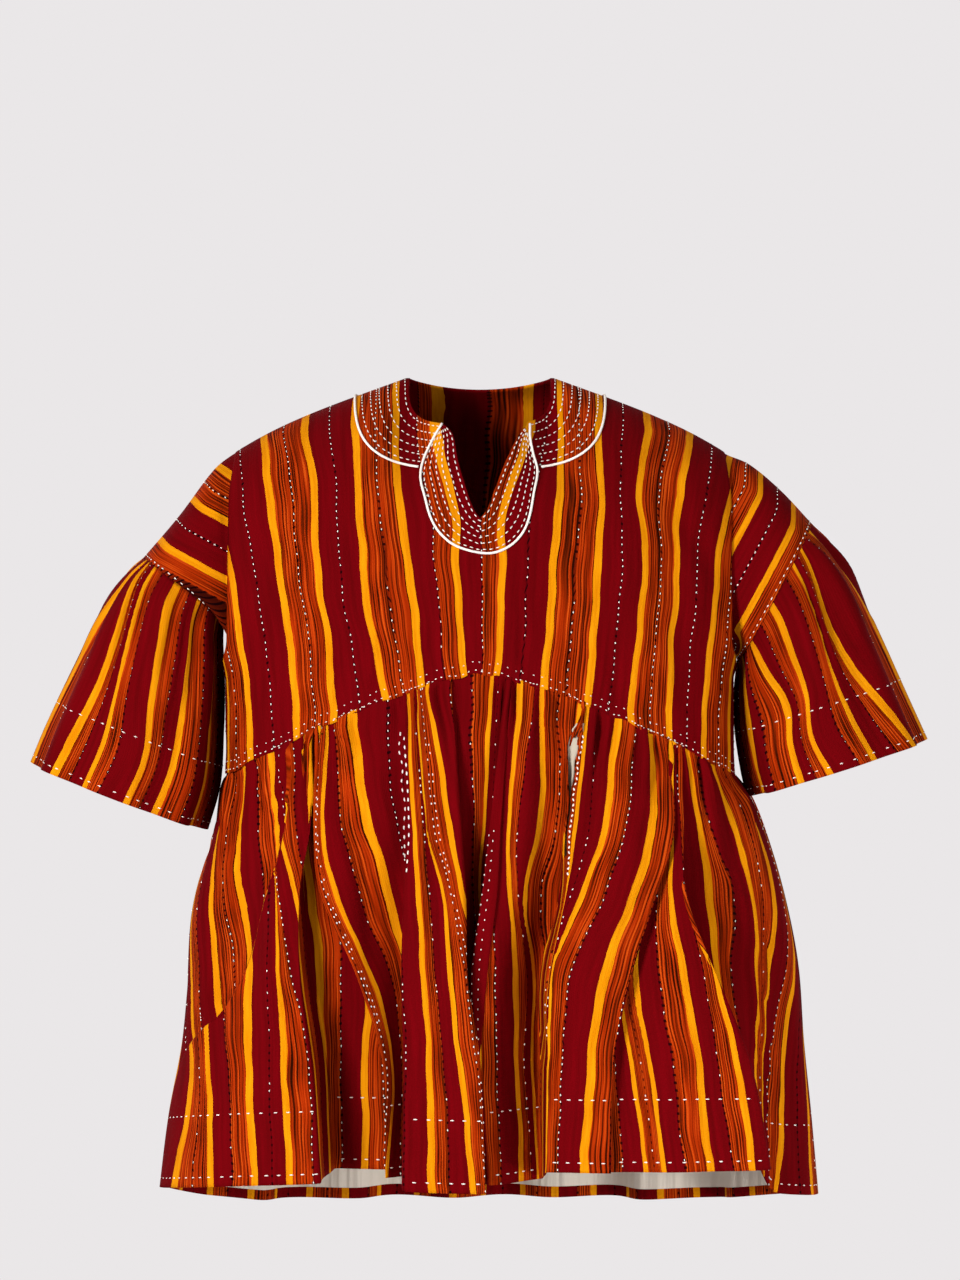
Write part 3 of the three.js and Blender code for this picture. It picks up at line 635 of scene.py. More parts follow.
# Front folds from left to right as they lie over one another, each from one line down the
# skirt to the next. x: place across, at the gathered seam, at foldHeights and at the hem,
# out: how far the line stands off the skirt's general surface, lip: how a pocket's edge bows.
# stripes: where stripes run across a fold, by their count along the cloth.
foldHeights = [-420, -480, -560, -640]
frontFolds = [
    {
        "name": "left side panel",
        "lines": [
            {"x": [-240, -248, -264, -276, -285, -306], "out": [0, 0, 0, 0, 0, 0], "hem": -768},
            {"x": [-176, -186, -204, -231, -281, -301], "out": [0, -9, -13, -15, -14, -12], "hem": -764},
        ],
        "stripes": {
            -4.445: [-259, -245, -259, -270, -279, -291], -3.445: [-228, -243, -253, -250, -239, -230],
            -2.555: [-222, -228, -225, -210, -200, -192], -2.0: [-212, -209, -198, -184, -174, -165],
            -1.555: [-192, -187, -175, -161, -148, -137], -1.0: [-186, -177, -164, -149, -137, -126],
        },
    },
    {
        "name": "left flare",
        "lines": [
            {"x": [-174, -177, -191, -216, -276, -299], "out": [0, 3, 4, 4, 3, 2], "hem": -762},
            {"x": [-166, -161, -172, -183, -201, -202], "out": [0, 8, 12, 14, 14, 14], "hem": -748},
            {"x": [-154, -153, -161, -161, -150, -142], "out": [0, 4, 6, 4, 2, 0], "hem": -745},
        ],
        "stripes": {
            0.0: [-330, -300, -290, -293, -288, -306], 0.555: [-305, -253, -274, -288, -267, -283],
            1.445: [-277, -253, -266, -259, -253, -247], 2.0: [-259, -253, -251, -246, -233, -229],
            2.445: [-222, -220, -216, -213, -211, -206], 3.0: [-200, -198, -192, -194, -192, -190],
            3.555: [-196, -195, -187, -185, -180, -174], 4.0: [-194, -194, -186, -172, -156, -151],
            4.555: [-187, -186, -171, -151, -135, -129], 5.0: [-174, -169, -160, -137, -123, -116],
            5.555: [-158, -151, -145, -123, -109, -100],
        },
    },
    {
        "name": "recess",
        "lines": [
            {"x": [-162, -169, -180, -187, -183, -179], "out": [0, -10, -24, -46, -62, -72], "hem": -738},
            {"x": [-148, -151, -148, -118, -93, -87], "out": [0, -12, -28, -50, -62, -70], "hem": -738},
        ],
        "stripes": {
            5.555: [-166, -164, -157, -148, -147, -146], 6.0: [-150, -146, -136, -128, -129, -128],
            6.555: [-134, -129, -120, -103, -106, -107], 7.0: [-125, -120, -110, -86, -89, -88],
        },
    },
    {
        "name": "slanting fold",
        "lines": [
            {"x": [-152, -153, -148, -116, -94, -95], "out": [0, 3, 2, -6, -14, -24], "hem": -741},
            {
                "x": [-76, -71, -77, -80, -79, -80], "out": [0, -18, -32, -38, -40, -42], "hem": -741,
                "lip": {
                    "z": [-318, -336, -350, -366, -382, -400, -420, -450],
                    "x": [0, 2, -2, 2, -2, 1.5, -1.5, 0],
                },
            },
        ],
        "stripes": {
            7.0: [-148, -152, -143, -109, -85, -93], 7.445: [-142, -146, -134, -99, -80, -86],
            8.0: [-136, -128, -110, -82, -72, -74], 8.445: [-118, -103, -84, -66, -62, -55],
            9.0: [-85, -77, -62, -46, -37, -27],
        },
        "pocket": "left",
    },
    {
        "name": "centre flare",
        "lines": [
            {"x": [-74, -64, -68, -70, -67, -69], "out": [0, 4, 6, 7, 8, 8], "hem": -750},
            {"x": [-26, -18, -14, -11, 2, 7], "out": [0, 2, 4, 5, 5, 5], "hem": -752},
        ],
        "stripes": {
            9.0: [-76, -75, -77, -71, -69, -71], 9.555: [-67, -60, -56, -50, -46, -42],
            10.0: [-60, -51, -47, -40, -33, -26], 10.555: [-59, -50, -34, -27, -18, -5],
            11.0: [-55, -42, -27, -13, -2, 7], 11.445: [-49, -28, -17, 0, 9, 18],
            12.0: [-26, -9, 0, 14, 23, 32],
        },
    },
    {
        "name": "centre recess",
        "lines": [
            {"x": [-28, -28, -29, -25, -10, -2], "out": [0, -18, -30, -26, -26, -22], "hem": -746},
            {"x": [28, 20, 19, 10, 2, 4], "out": [0, -24, -48, -44, -36, -30], "hem": -746},
        ],
        "stripes": {
            12.75: [-26, -24, -22, -18, -9, -2], 13.0: [-7, -6, -6, 0, 9, 18],
            13.445: [12, 4, -1, 9, 18, 27], 14.0: [17, 11, 9, 18, 27, 36],
        },
    },
    {
        "name": "narrow stitched fold",
        "lines": [
            {"x": [24, 7, -1, -9, -1, 8], "out": [0, -4, -8, -10, -14, -16], "hem": -746},
            {"x": [30, 20, 17, 7, 0, 8], "out": [0, -4, -8, -10, -14, -16], "hem": -746},
        ],
        "stripes": {
            14.02: [23, 6, -2, -10, -2, 7], 14.3: [31, 21, 18, 8, 1, 9],
        },
    },
    {
        "name": "centre pleat",
        "lines": [
            {"x": [28, 18, 15, 5, -2, 7], "out": [0, -8, -12, -12, -14, -14], "hem": -746},
            {
                "x": [97, 84, 86, 71, 71, 68], "out": [0, -16, -38, -60, -60, -50], "hem": -744,
                "lip": {
                    "z": [-318, -327, -337, -348, -362, -383, -404, -440],
                    "x": [0, -2, -8, -9, -6, -2.5, 0.5, 0],
                },
            },
        ],
        "stripes": {
            14.62: [15, -2, -9, 0, -2, 5], 15.0: [21, 13, 9, 15, 15, 20], 15.555: [38, 27, 28, 33, 34, 39],
            16.0: [53, 34, 35, 42, 39, 48], 16.555: [56, 56, 40, 48, 46, 53], 17.0: [74, 71, 59, 60, 59, 60],
            17.42: [97, 87, 83, 78, 73, 73],
        },
        "pocket": "right",
    },
    {
        "name": "right flare",
        "lines": [
            {
                "x": [95, 80, 73, 57, 58, 56], "out": [0, 4, 8, 9, 9, 8], "hem": -732,
                "lip": {
                    "z": [-318, -327, -337, -348, -362, -374, -388, -404, -425, -450],
                    "x": [0, 0, 2, 2, -1, 0.5, -2, -0.5, -1.5, 0],
                },
            },
            {"x": [174, 177, 158, 133, 118, 116], "out": [0, 5, 9, 10, 10, 9], "hem": -734},
        ],
        "stripes": {
            17.445: [101, 87, 78, 62, 58, 56], 18.0: [111, 100, 84, 50, 45, 45],
            18.555: [130, 114, 93, 61, 58, 57], 19.0: [148, 134, 114, 82, 74, 71],
            19.555: [156, 159, 140, 113, 100, 95], 20.0: [174, 183, 164, 138, 122, 120],
        },
    },
    {
        "name": "under layer",
        "lines": [
            {"x": [172, 179, 164, 137, 121, 118], "out": [0, -3, -4, -3, -2, -2], "hem": -734},
            {"x": [179, 185, 173, 174, 176, 182], "out": [0, 0, 8, 16, 22, 26], "hem": -733},
            {"x": [188, 190, 184, 206, 226, 238], "out": [0, -2, 10, 24, 36, 42], "hem": -733},
        ],
        "stripes": {
            20.75: [148, 147, 138, 109, 116, 119], 21.555: [157, 157, 147, 128, 140, 152],
            22.0: [162, 161, 151, 135, 148, 159], 22.445: [166, 166, 156, 141, 155, 167],
            23.0: [170, 171, 163, 164, 176, 187], 23.445: [177, 178, 175, 188, 200, 210],
            24.0: [183, 185, 189, 207, 217, 232], 24.445: [194, 196, 203, 218, 236, 250],
            25.0: [203, 205, 214, 235, 253, 270],
        },
    },
    {
        "name": "deep recess and right side panel",
        "lines": [
            {
                "x": [179, 176, 180, 206, 236, 255], "out": [0, -26, -56, -76, -84, -86], "hem": -726,
                "hemEase": 7,
            },
            {"x": [210, 236, 259, 285, 298, 298], "out": [0, -12, -30, -45, -45, -30], "hem": -764},
            {"x": [240, 265, 287, 303, 309, 322], "out": [0, 0, 0, 0, 0, 0], "hem": -775},
        ],
        "stripes": {
            24.0: [112, 114, 119, 136, 164, 183], 25.0: [146, 148, 153, 170, 198, 217],
            26.0: [180, 182, 187, 204, 232, 251], 26.555: [191, 204, 214, 221, 242, 256],
            27.0: [203, 213, 235, 234, 247, 261], 27.555: [211, 238, 257, 259, 258, 261],
            28.0: [218, 246, 266, 264, 261, 263], 28.445: [225, 252, 276, 267, 263, 265],
            29.0: [238, 264, 282, 290, 268, 268], 29.445: [246, 267, 287, 299, 292, 274],
            30.0: [259, 267, 287, 303, 307, 294], 30.555: [268, 267, 287, 303, 309, 311],
        },
    },
]
skirtCreases = [
    {"start": (-248, -480), "end": (-229, -750), "width": 8, "height": -3.5, "bend": -5},
    {"start": (-196, -480), "end": (-176, -745), "width": 11, "height": 3.5},
    {"start": (-214, -400), "end": (-246, -610), "width": 12, "height": -4, "bend": 7},
    {"start": (-258, -430), "end": (-272, -560), "width": 9, "height": 3.5},
    {"start": (-226, -372), "end": (-232, -450), "width": 6, "height": -4},
    {"start": (-146, -330), "end": (-96, -560), "width": 11, "height": -5, "bend": 10},
    {"start": (-118, -310), "end": (-84, -450), "width": 12, "height": 4.5, "bend": 6},
    {"start": (-62, -300), "end": (-50, -560), "width": 9, "height": 4},
    {"start": (-44, -420), "end": (-30, -740), "width": 9, "height": -3.5},
    {"start": (-20, -330), "end": (-2, -640), "width": 8, "height": 3.5, "bend": -4},
    {"start": (48, -300), "end": (38, -470), "width": 9, "height": 5},
    {"start": (66, -320), "end": (58, -520), "width": 8, "height": -5},
    {"start": (40, -520), "end": (46, -730), "width": 9, "height": 3},
    {"start": (118, -320), "end": (84, -500), "width": 12, "height": -4, "bend": 5},
    {"start": (150, -330), "end": (92, -620), "width": 13, "height": 4, "bend": 8},
    {"start": (92, -520), "end": (66, -725), "width": 10, "height": -3, "bend": 4},
    {"start": (164, -540), "end": (202, -725), "width": 12, "height": 3.5},
    {"start": (190, -480), "end": (240, -725), "width": 9, "height": -3.5, "bend": 4},
    {"start": (228, -395), "end": (262, -500), "width": 10, "height": -5, "bend": -5},
    {"start": (244, -470), "end": (270, -640), "width": 10, "height": 4, "bend": -5},
    {"start": (286, -560), "end": (298, -740), "width": 9, "height": -3.5},
]
# Back folds from the right side to the left, crests and the troughs between them
backFolds = [
    {"x": [240, 265, 287, 303, 309, 322], "out": [0, 0, 0, 0, 0, 0], "hem": -775},
    {"x": [210, 222, 232, 244, 256, 268], "out": [0, -6, -11, -16, -19, -22], "hem": -792},
    {"x": [176, 188, 196, 206, 216, 224], "out": [0, 4, 6, 7, 8, 8], "hem": -797},
    {"x": [140, 150, 154, 160, 168, 174], "out": [0, -8, -14, -19, -22, -23], "hem": -799},
    {"x": [104, 112, 116, 118, 122, 126], "out": [0, 5, 7, 10, 11, 11], "hem": -799},
    {"x": [66, 70, 70, 72, 74, 76], "out": [0, -5, -10, -13, -17, -18], "hem": -799},
    {"x": [30, 30, 28, 26, 26, 24], "out": [0, 5, 7, 8, 8, 7], "hem": -799},
    {"x": [-8, -12, -16, -20, -24, -28], "out": [0, -10, -17, -23, -25, -26], "hem": -799},
    {"x": [-52, -58, -64, -70, -76, -82], "out": [0, 4, 6, 8, 10, 10], "hem": -799},
    {"x": [-94, -102, -108, -116, -124, -130], "out": [0, -6, -11, -14, -18, -19], "hem": -799},
    {"x": [-138, -148, -156, -164, -172, -180], "out": [0, 5, 7, 8, 10, 10], "hem": -799},
    {"x": [-178, -190, -200, -210, -220, -230], "out": [0, -6, -11, -16, -19, -20], "hem": -797},
    {"x": [-210, -224, -236, -248, -256, -270], "out": [0, 1, 2, 4, 4, 2], "hem": -789},
    {"x": [-240, -248, -264, -276, -285, -306], "out": [0, 0, 0, 0, 0, 0], "hem": -768},
]
fall = (np.arange(101) / 100) ** 1.12


def halfWidthAt(z, side):
    return between(outline["z"], outline[side], z)


def skirtPoint(bearing, z, out, face):
    halfWidth = np.where(bearing < 0, halfWidthAt(z, "left"), halfWidthAt(z, "right"))
    share = np.clip((body["seamSide"] - z) / (body["seamSide"] - outline["z"][-1]), 0, 1)
    power = mix(body["sectionPower"], 0.72, share * (2 - share))
    forward = -1 if face == "front" else 1
    depth = between(outline["z"], outline[face], z) * np.maximum(np.cos(bearing), 0) ** power
    x = halfWidth * np.sin(bearing) + np.sin(bearing) * out
    return np.stack([x, forward * (depth + np.cos(bearing) * out), z], -1)


# Bearing round the body and distance off it of a fold's line, at heights down the skirt
def foldAt(line, z, seam):
    knots = [seam, *foldHeights, line["hem"]]
    x, out = between(knots, line["x"], z), between(knots, line["out"], z)
    if abs(line["x"][0]) == body["yokeHalfWidth"]:  # at the side seam
        return np.full_like(z, math.copysign(math.pi / 2, line["x"][0])), out
    if "lip" in line:
        x = x + between(line["lip"]["z"], line["lip"]["x"], z)
    halfWidth = np.where(x < 0, halfWidthAt(z, "left"), halfWidthAt(z, "right"))
    return np.arcsin(np.clip(x / halfWidth, -1, 1)), out


# One column of the skirt's grid, between two of a fold's lines
def skirtColumn(start, end, share, face):
    half = body["yokeHalfWidth"]
    bearing = mix(math.asin(start["x"][0] / half), math.asin(end["x"][0] / half), share)
    topX = half * math.sin(bearing)
    topZ = float(seamHeight(topX, face))
    top = yokePoint(topX, topZ, face)
    z = mix(topZ, mix(start["hem"], end["hem"], share ** start.get("hemEase", 1)), fall)
    a = foldAt(start, z, float(seamHeight(start["x"][0], face)))
    b = foldAt(end, z, float(seamHeight(end["x"][0], face)))
    eased = (1 - math.cos(share * math.pi)) / 2
    column = skirtPoint(mix(a[0], b[0], share), z, mix(a[1], b[1], eased), face)
    column[:, 1] = mix(top[1], column[:, 1], smoothstep(topZ - z, 0, 70))
    column[0] = top
    return column


# Strip counts down a column, from where the stripes run across its fold
def countAcross(stripes, column, seam, hem):
    knots = [seam, *foldHeights, hem]
    counts = np.array(sorted(stripes))
    tracks = np.array([between(knots, stripes[count], column[:, 2]) for count in counts])
    leastGap = 0.8
    for k in range(1, len(tracks)):
        tracks[k] = np.maximum(tracks[k], tracks[k - 1] + leastGap)
    found = np.zeros(len(column))
    for row, x in enumerate(column[:, 0]):
        k = int(np.clip(np.searchsorted(tracks[:, row], x) - 1, 0, len(counts) - 2))
        low, high = tracks[k, row], tracks[k + 1, row]
        found[row] = counts[k] + (counts[k + 1] - counts[k]) * (x - low) / (high - low)
    # well past the outermost stripes the strips keep their own width
    nearby = 0.45
    before = (tracks[0] - column[:, 0]) / stripWidth - nearby
    after = (column[:, 0] - tracks[-1]) / stripWidth - nearby
    found = np.clip(found, counts[0] - nearby, counts[-1] + nearby)
    return found - np.maximum(before, 0) + np.maximum(after, 0)


# Rounds the folds' edges, from a few rows below the seam
def softened(points, times):
    for _ in range(times):
        middle = (points[:, :-2] + 2 * points[:, 1:-1] + points[:, 2:]) / 4
        points[3:, 1:-1] = middle[3:]
    return points


# Puckers under the gathered seam, uneven, and gone some 100 mm below it
puckers = {"height": 7, "reach": 55, "perStrip": (1.15, 1.9, 2.7)}


def addPuckers(points, strip, seed):
    drop = lengthAlong(points)
    shake = np.random.default_rng(seed)
    phases, sizes = shake.uniform(0, 6.28, 3), shake.uniform(0.7, 1.2, 3)
    waves = [
        size * np.sin(2 * np.pi * strip * often + phase)
        for size, often, phase in zip(sizes, puckers["perStrip"], phases)
    ]
    height = puckers["height"] * np.exp(-(drop / puckers["reach"]) ** 2) * (1 - np.exp(-drop / 9))
    outwards = points * (0.4, 1, 0)
    outwards /= np.maximum(np.linalg.norm(outwards, axis=-1, keepdims=True), 1)
    return points + outwards * (sum(waves) / 2 * height)[..., None]


# Where the cloth turns round to a side seam the strips keep their distance from the seam
def aroundSide(columns, strips):
    points, strip = np.stack(columns, 1), np.stack(strips, 1)
    atLeft = points[-1, 0, 0] < 0
    if not atLeft:
        points, strip = points[:, ::-1], strip[:, ::-1]
    aside = np.abs(points[..., 0]) / halfWidthAt(points[..., 2], "left" if atLeft else "right")
    fromSeam = lengthAlong(points.swapaxes(0, 1)).T / stripWidth * (1 if atLeft else -1)
    # what the seam's own count comes to, from the stripes on the front, evened out down it
    weight = np.exp(-(((aside - 0.9) / 0.03) ** 2))
    row = np.arange(len(points))
    near = (row[:, None] - row) / 14
    spread = np.exp(-near ** 2) + 0.002 * np.exp(-(near / 5) ** 2)
    atSeam = spread @ ((strip - fromSeam) * weight).sum(1) / (spread @ weight.sum(1))
    strip = mix(strip, atSeam[:, None] + fromSeam, smoothstep(aside, 0.86, 0.95))
    return list((strip if atLeft else strip[:, ::-1]).T)


def frontSkirt():
    columnWidth = 3.2
    turnShares = np.arange(1, 8) / 8
    columns, strips, folds, pocketColumns, cuts = [], [], {}, [], {}
    previous = None
    for fold in frontFolds:
        lines = fold["lines"]
        seam = float(seamHeight(lines[0]["x"][0], "front"))
        if previous is not None:
            under = previous["lines"][-1]
            turn = [skirtColumn(under, lines[0], share, "front") for share in turnShares]
            first = skirtColumn(lines[0], lines[1], 0, "front")
            run = lengthAlong(np.array([columns[-1], *turn, first]))[1:] / stripWidth
            # the upper fold's cloth goes on underneath itself, as far as the lower fold
            if lines[0]["out"][3] > under["out"][3]:
                atEdge = countAcross(fold["stripes"], first, seam, lines[0]["hem"])
                turned = atEdge - run[-1] + run[:-1]
                cuts[len(columns) - 1] = (atEdge - run[-1], turned[0])
            else:
                turned = strips[-1] + run[:-1]
                cuts[len(columns) + len(turn) - 1] = (turned[-1], strips[-1] + run[-1])
            if previous.get("pocket") == "right":
                pocketColumns = list(range(len(columns), len(columns) + len(turn)))
            columns += turn
            strips += list(turned)
        start = len(columns)
        for a, b in zip(lines, lines[1:]):
            wide = max(abs(q - p) for p, q in zip(a["x"], b["x"]))
            count = max(int(wide / columnWidth), 3)
            for step in range(count + (1 if b is lines[-1] else 0)):
                column = skirtColumn(a, b, step / count, "front")
                hem = mix(a["hem"], b["hem"], step / count)
                columns.append(column)
                strips.append(countAcross(fold["stripes"], column, seam, hem))
        if "side panel" in fold["name"]:
            strips[start:] = aroundSide(columns[start:], strips[start:])
        folds[fold["name"]] = (start, len(columns) - 1)
        previous = fold
    return np.stack(columns, 1), np.stack(strips, 1), folds, pocketColumns, cuts


points, strip, folds, pocketColumns, cuts = frontSkirt()
strip = wandering(points, strip, 6)
points = addCreases(softened(points, 3), skirtCreases)
points = addPuckers(points, strip, 4)
points[:, [0, -1], 1] = 0
# the gaping pocket, as shares of the skirt's fall: its top is rounded
pocketOpening = {"top": 0.055, "round": 0.035, "foot": 0.33}
missing = np.zeros(points.shape[:2], bool)
for column in pocketColumns:
    aside = abs(column - np.mean(pocketColumns)) / 3
    top = pocketOpening["top"] + pocketOpening["round"] * aside ** 2
    missing[:, column] = (fall >= top) & (fall <= pocketOpening["foot"])
piece = clothObject("skirt_front_cloth", points, strip, [cotton["skirtFront"]], missing=missing, cuts=cuts)
declare(piece, "skirt_front")
skirtFront = {"points": points, "strip": strip, "folds": folds}


def backSkirt():
    foldColumns = 14
    columns = []
    for a, b in zip(backFolds, backFolds[1:]):
        for step in range(foldColumns + (1 if b is backFolds[-1] else 0)):
            columns.append(skirtColumn(a, b, step / foldColumns, "back"))
    points = np.stack(columns, 1)
    # gathered evenly, so the strips are as far apart as they are along the hem
    hemCount = lengthAlong(points[-1]) / stripWidth + 0.3
    return points, np.repeat(hemCount[None], len(points), 0)


points, strip = backSkirt()
points = addPuckers(softened(points, 3), strip, 9)
points[:, [0, -1], 1] = 0
piece = clothObject("skirt_back_cloth", points, strip, [cotton["skirtBack"], facing, cotton["skirtBack"]])
# the last centimetre inside is the striped hem turned up, below the facing
hemRows = 3
for polygon in piece.data.polygons:
    if max(polygon.vertices) < hemRows * points.shape[1]:
        polygon.material_index = 2
declare(piece, "skirt_back")
skirtBack = {"points": points, "strip": strip}


print("sleeves")
# rings: how far out each is, and how far inside the yoke's surface
armhole = {"rings": [(220, 3.6), (236, 1.9)], "foot": -264, "narrowsBelow": -170, "flush": 1.3}
# Sections across each sleeve, outer and inner edge as x and z, and half the depth
sleeves = {
    "left": {
        "side": -1,
        "shoulder": [
            {"outer": (-252, -87), "inner": (-231, -262), "depth": 72},
            {"outer": (-285, -131), "inner": (-236, -250), "depth": 79},
            {"outer": (-318, -170), "inner": (-243, -226), "depth": 84},
        ],
        "flounce": [
            {"outer": (-318, -170), "inner": (-243, -226), "depth": 84},
            {"outer": (-335, -188), "inner": (-246, -248), "depth": 94},
            {"outer": (-357, -224), "inner": (-245.5, -284), "depth": 100},
            {"outer": (-385, -281), "inner": (-247, -334), "depth": 103},
            {"outer": (-408, -331), "inner": (-251, -386), "depth": 104},
            {"outer": (-422, -366), "inner": (-263, -427), "depth": 104},
        ],
        "ringWay": (-0.477, -0.879), "ringStart": 172, "ringStep": 43.4, "bow": 0.08,
        # where the yellow stripes run, as degrees round the sleeve from its outer edge
        # over the front, from the gathers to the hem
        "stripes": {
            0.555: [35, 12, 8, 6, 6], 1.555: [43, 59, 62, 58, 54], 2.555: [58, 70, 76, 79, 77],
            3.555: [89, 92, 94, 97, 95], 4.555: [111, 115, 117, 116, 113], 5.555: [150, 154, 157, 157, 157],
        },
    },
    "right": {
        "side": 1,
        "shoulder": [
            {"outer": (255, -82), "inner": (232, -258), "depth": 72},
            {"outer": (285, -107), "inner": (240, -260), "depth": 79},
            {"outer": (314, -138), "inner": (245, -268), "depth": 84},
        ],
        "flounce": [
            {"outer": (314, -138), "inner": (245, -268), "depth": 84},
            {"outer": (331, -158), "inner": (244, -280), "depth": 94},
            {"outer": (352, -192), "inner": (243, -302), "depth": 100},
            {"outer": (377, -246), "inner": (245, -334), "depth": 103},
            {"outer": (401, -301), "inner": (251, -368), "depth": 104},
            {"outer": (420, -344), "inner": (258, -396), "depth": 104},
        ],
        "ringWay": (0.883, -0.469), "ringStart": 232, "ringStep": 36.8, "bow": 0.22,
        "stripes": {
            0.555: [35, 10, 6, 6, 6], 1.555: [60, 72, 68, 56, 43], 2.555: [74, 78, 81, 80, 76],
            3.555: [97, 95, 94, 98, 95], 4.555: [132, 118, 107, 112, 113], 5.555: [157, 155, 157, 157, 157],
        },
    },
}
stripeShares = [0, 0.3, 0.55, 0.77, 1]
stripsRound = 13


def squared(value, power):
    return np.sign(value) * np.abs(value) ** power


# A turn goes once round the arm from the outer edge, and is closed exactly
def sleeveTurns(columns):
    turns = np.linspace(0, 2 * np.pi, columns + 1)
    turns[-1] = 0
    return turns


def armholeRing(side, x, inset, turns):
    under = (1 - np.cos(turns)) / 2
    # under the yoke's edge, and flush with it on top of the shoulder
    inset = inset - armhole["flush"] * (1 - smoothstep(under, 0, 0.08))
    top, foot, narrows = float(ridgeHeight(x)) - inset, armhole["foot"], armhole["narrowsBelow"]
    z = mix(top, foot, under)
    front = np.sin(turns) * side < 0
    depth = np.where(front, yokeDepth(x, z + inset, "front"), yokeDepth(x, z + inset, "back"))
    below = np.clip((narrows - z) / (narrows - foot), 0, 1)
    y = np.maximum(depth - inset, 0) * np.sqrt(1 - below ** 3)
    return np.stack([np.full_like(z, side * x), np.where(front, -y, y), z], -1)


def sleeveRing(section, side, turns, wave):
    far = np.array([section["outer"][0], 0, section["outer"][1]], float)
    near = np.array([section["inner"][0], 0, section["inner"][1]], float)
    centre, reach = (far + near) / 2, (far - near) / 2
    roundness = 0.75
    spoke = squared(np.cos(turns), roundness)[:, None] * reach
    spoke[:, 1] += side * squared(np.sin(turns), roundness) * section["depth"]
    unit = spoke / np.maximum(np.linalg.norm(spoke, axis=1, keepdims=True), 1e-6)
    return centre + spoke + unit * wave[:, None]


# Rings between the given ones, on smooth curves through them
def betweenRings(rings, count):
    rings = np.array(rings)
    knots = lengthAlong(rings).mean(1)
    at = np.linspace(0, knots[-1], count)
    flat = rings.reshape(len(rings), -1)
    return np.stack([between(knots, flat[:, i], at) for i in range(flat.shape[1])], 1).reshape(count, -1, 3)


# On a drop shoulder the strips run round the arm, so the count rises along the arm
def dropShoulder(sleeve):
    side, turns = sleeve["side"], sleeveTurns(128)
    rings = [armholeRing(side, x, inset, turns) for x, inset in armhole["rings"]]
    rings += [sleeveRing(section, side, turns, np.zeros(len(turns))) for section in sleeve["shoulder"]]
    points = betweenRings(rings, 34)
    under = (1 - np.cos(turns)) / 2
    wayX, wayZ = sleeve["ringWay"]
    over = (points[..., 0] * wayX + points[..., 2] * wayZ - sleeve["ringStart"]) / sleeve["ringStep"]
    over += sleeve["bow"] * (1 - smoothstep(under, 0, 0.2))
    # under the arm all three strips are taken into the seam
    along, tuckedIn = lengthAlong(points), 14
    below = 3 * np.clip((along - tuckedIn) / (along[-1] - tuckedIn), 0, 1)
    return points, np.clip(mix(over, below, smoothstep(under, 0.85, 0.99)), 0.0, 2.995)


def shoulderObject(name, points, strip):
    piece = clothObject(name, points, strip, [cotton["shoulder"]])
    around = np.broadcast_to(lengthAlong(points[20]) / 1000, strip.shape)
    texture = np.stack([strip, around], -1)[::-1].reshape(-1, 2)
    vertex = np.empty(len(piece.data.loops), int)
    piece.data.loops.foreach_get("vertex_index", vertex)
    uv = texture[vertex].astype(np.float32).ravel()
    piece.data.uv_layers["strips"].data.foreach_set("uv", uv)
    bm = bmesh.new()
    bm.from_mesh(piece.data)
    bmesh.ops.remove_doubles(bm, verts=bm.verts, dist=1e-6)
    bm.to_mesh(piece.data)
    bm.free()
    return piece


def gatheredSleeve(sleeve):
    side, turns = sleeve["side"], sleeveTurns(224)
    rings = []
    for index, section in enumerate(sleeve["flounce"]):
        wave = 5 * math.sqrt(index / 5) * np.cos(turns * 8)
        rings.append(sleeveRing(section, side, turns, wave))
    points = betweenRings(rings, 60)
    drop = lengthAlong(points)
    degrees = np.linspace(0, 360, len(turns))
    bearing = degrees if side < 0 else 360 - degrees
    counts = sorted(sleeve["stripes"])
    values = [counts[-1] - stripsRound, *counts, counts[0] + stripsRound]
    strip = np.zeros(points.shape[:2])
    for row, at in enumerate((drop / drop[-1]).mean(1)):
        places = [float(between(stripeShares, sleeve["stripes"][count], at)) for count in counts]
        strip[row] = np.interp(bearing, [places[-1] - 360, *places, places[0] + 360], values)
    phase = np.random.default_rng(11 + side).uniform(0, 6.28, 2)
    gathers = np.sin(2 * np.pi * strip + phase[0]) + 0.7 * np.sin(4 * np.pi * strip + phase[1])
    fade = np.sin(np.pi * np.clip(drop / 110, 0, 1)) ** 0.8
    # the gathers are pressed flat where the sleeve lies against the body
    pressed = 1 - 0.85 * np.exp(-((np.radians(degrees) - np.pi) / 0.4) ** 2)
    points = points + outwardNormals(points) * (2.4 * gathers * fade * pressed)[..., None]
    points[:, -1] = points[:, 0]
    return points, strip


for name, sleeve in sleeves.items():
    points, strip = dropShoulder(sleeve)
    sleeve["shoulderGrid"], sleeve["shoulderCount"] = points, strip
    piece = shoulderObject(f"drop_shoulder_{name}", points, strip)
    declare(piece, f"shoulder_{name}")
    points, strip = gatheredSleeve(sleeve)
    sleeve["flounceGrid"], sleeve["flounceCount"] = points, strip
    piece = clothObject(f"gathered_sleeve_{name}", points, strip, [cotton["sleeve"]], closed=True)
    declare(piece, f"sleeve_{name}")


print("pocket lining")
# behind: how far behind the nearer lip it hangs, at its top and at its foot
pocketLining = {
    "top": -326, "foot": -458, "behind": (1.5, 4.5), "ripple": 0.8, "pastLips": (0.012, 0.025),
    "rows": 36, "columns": 11,
}


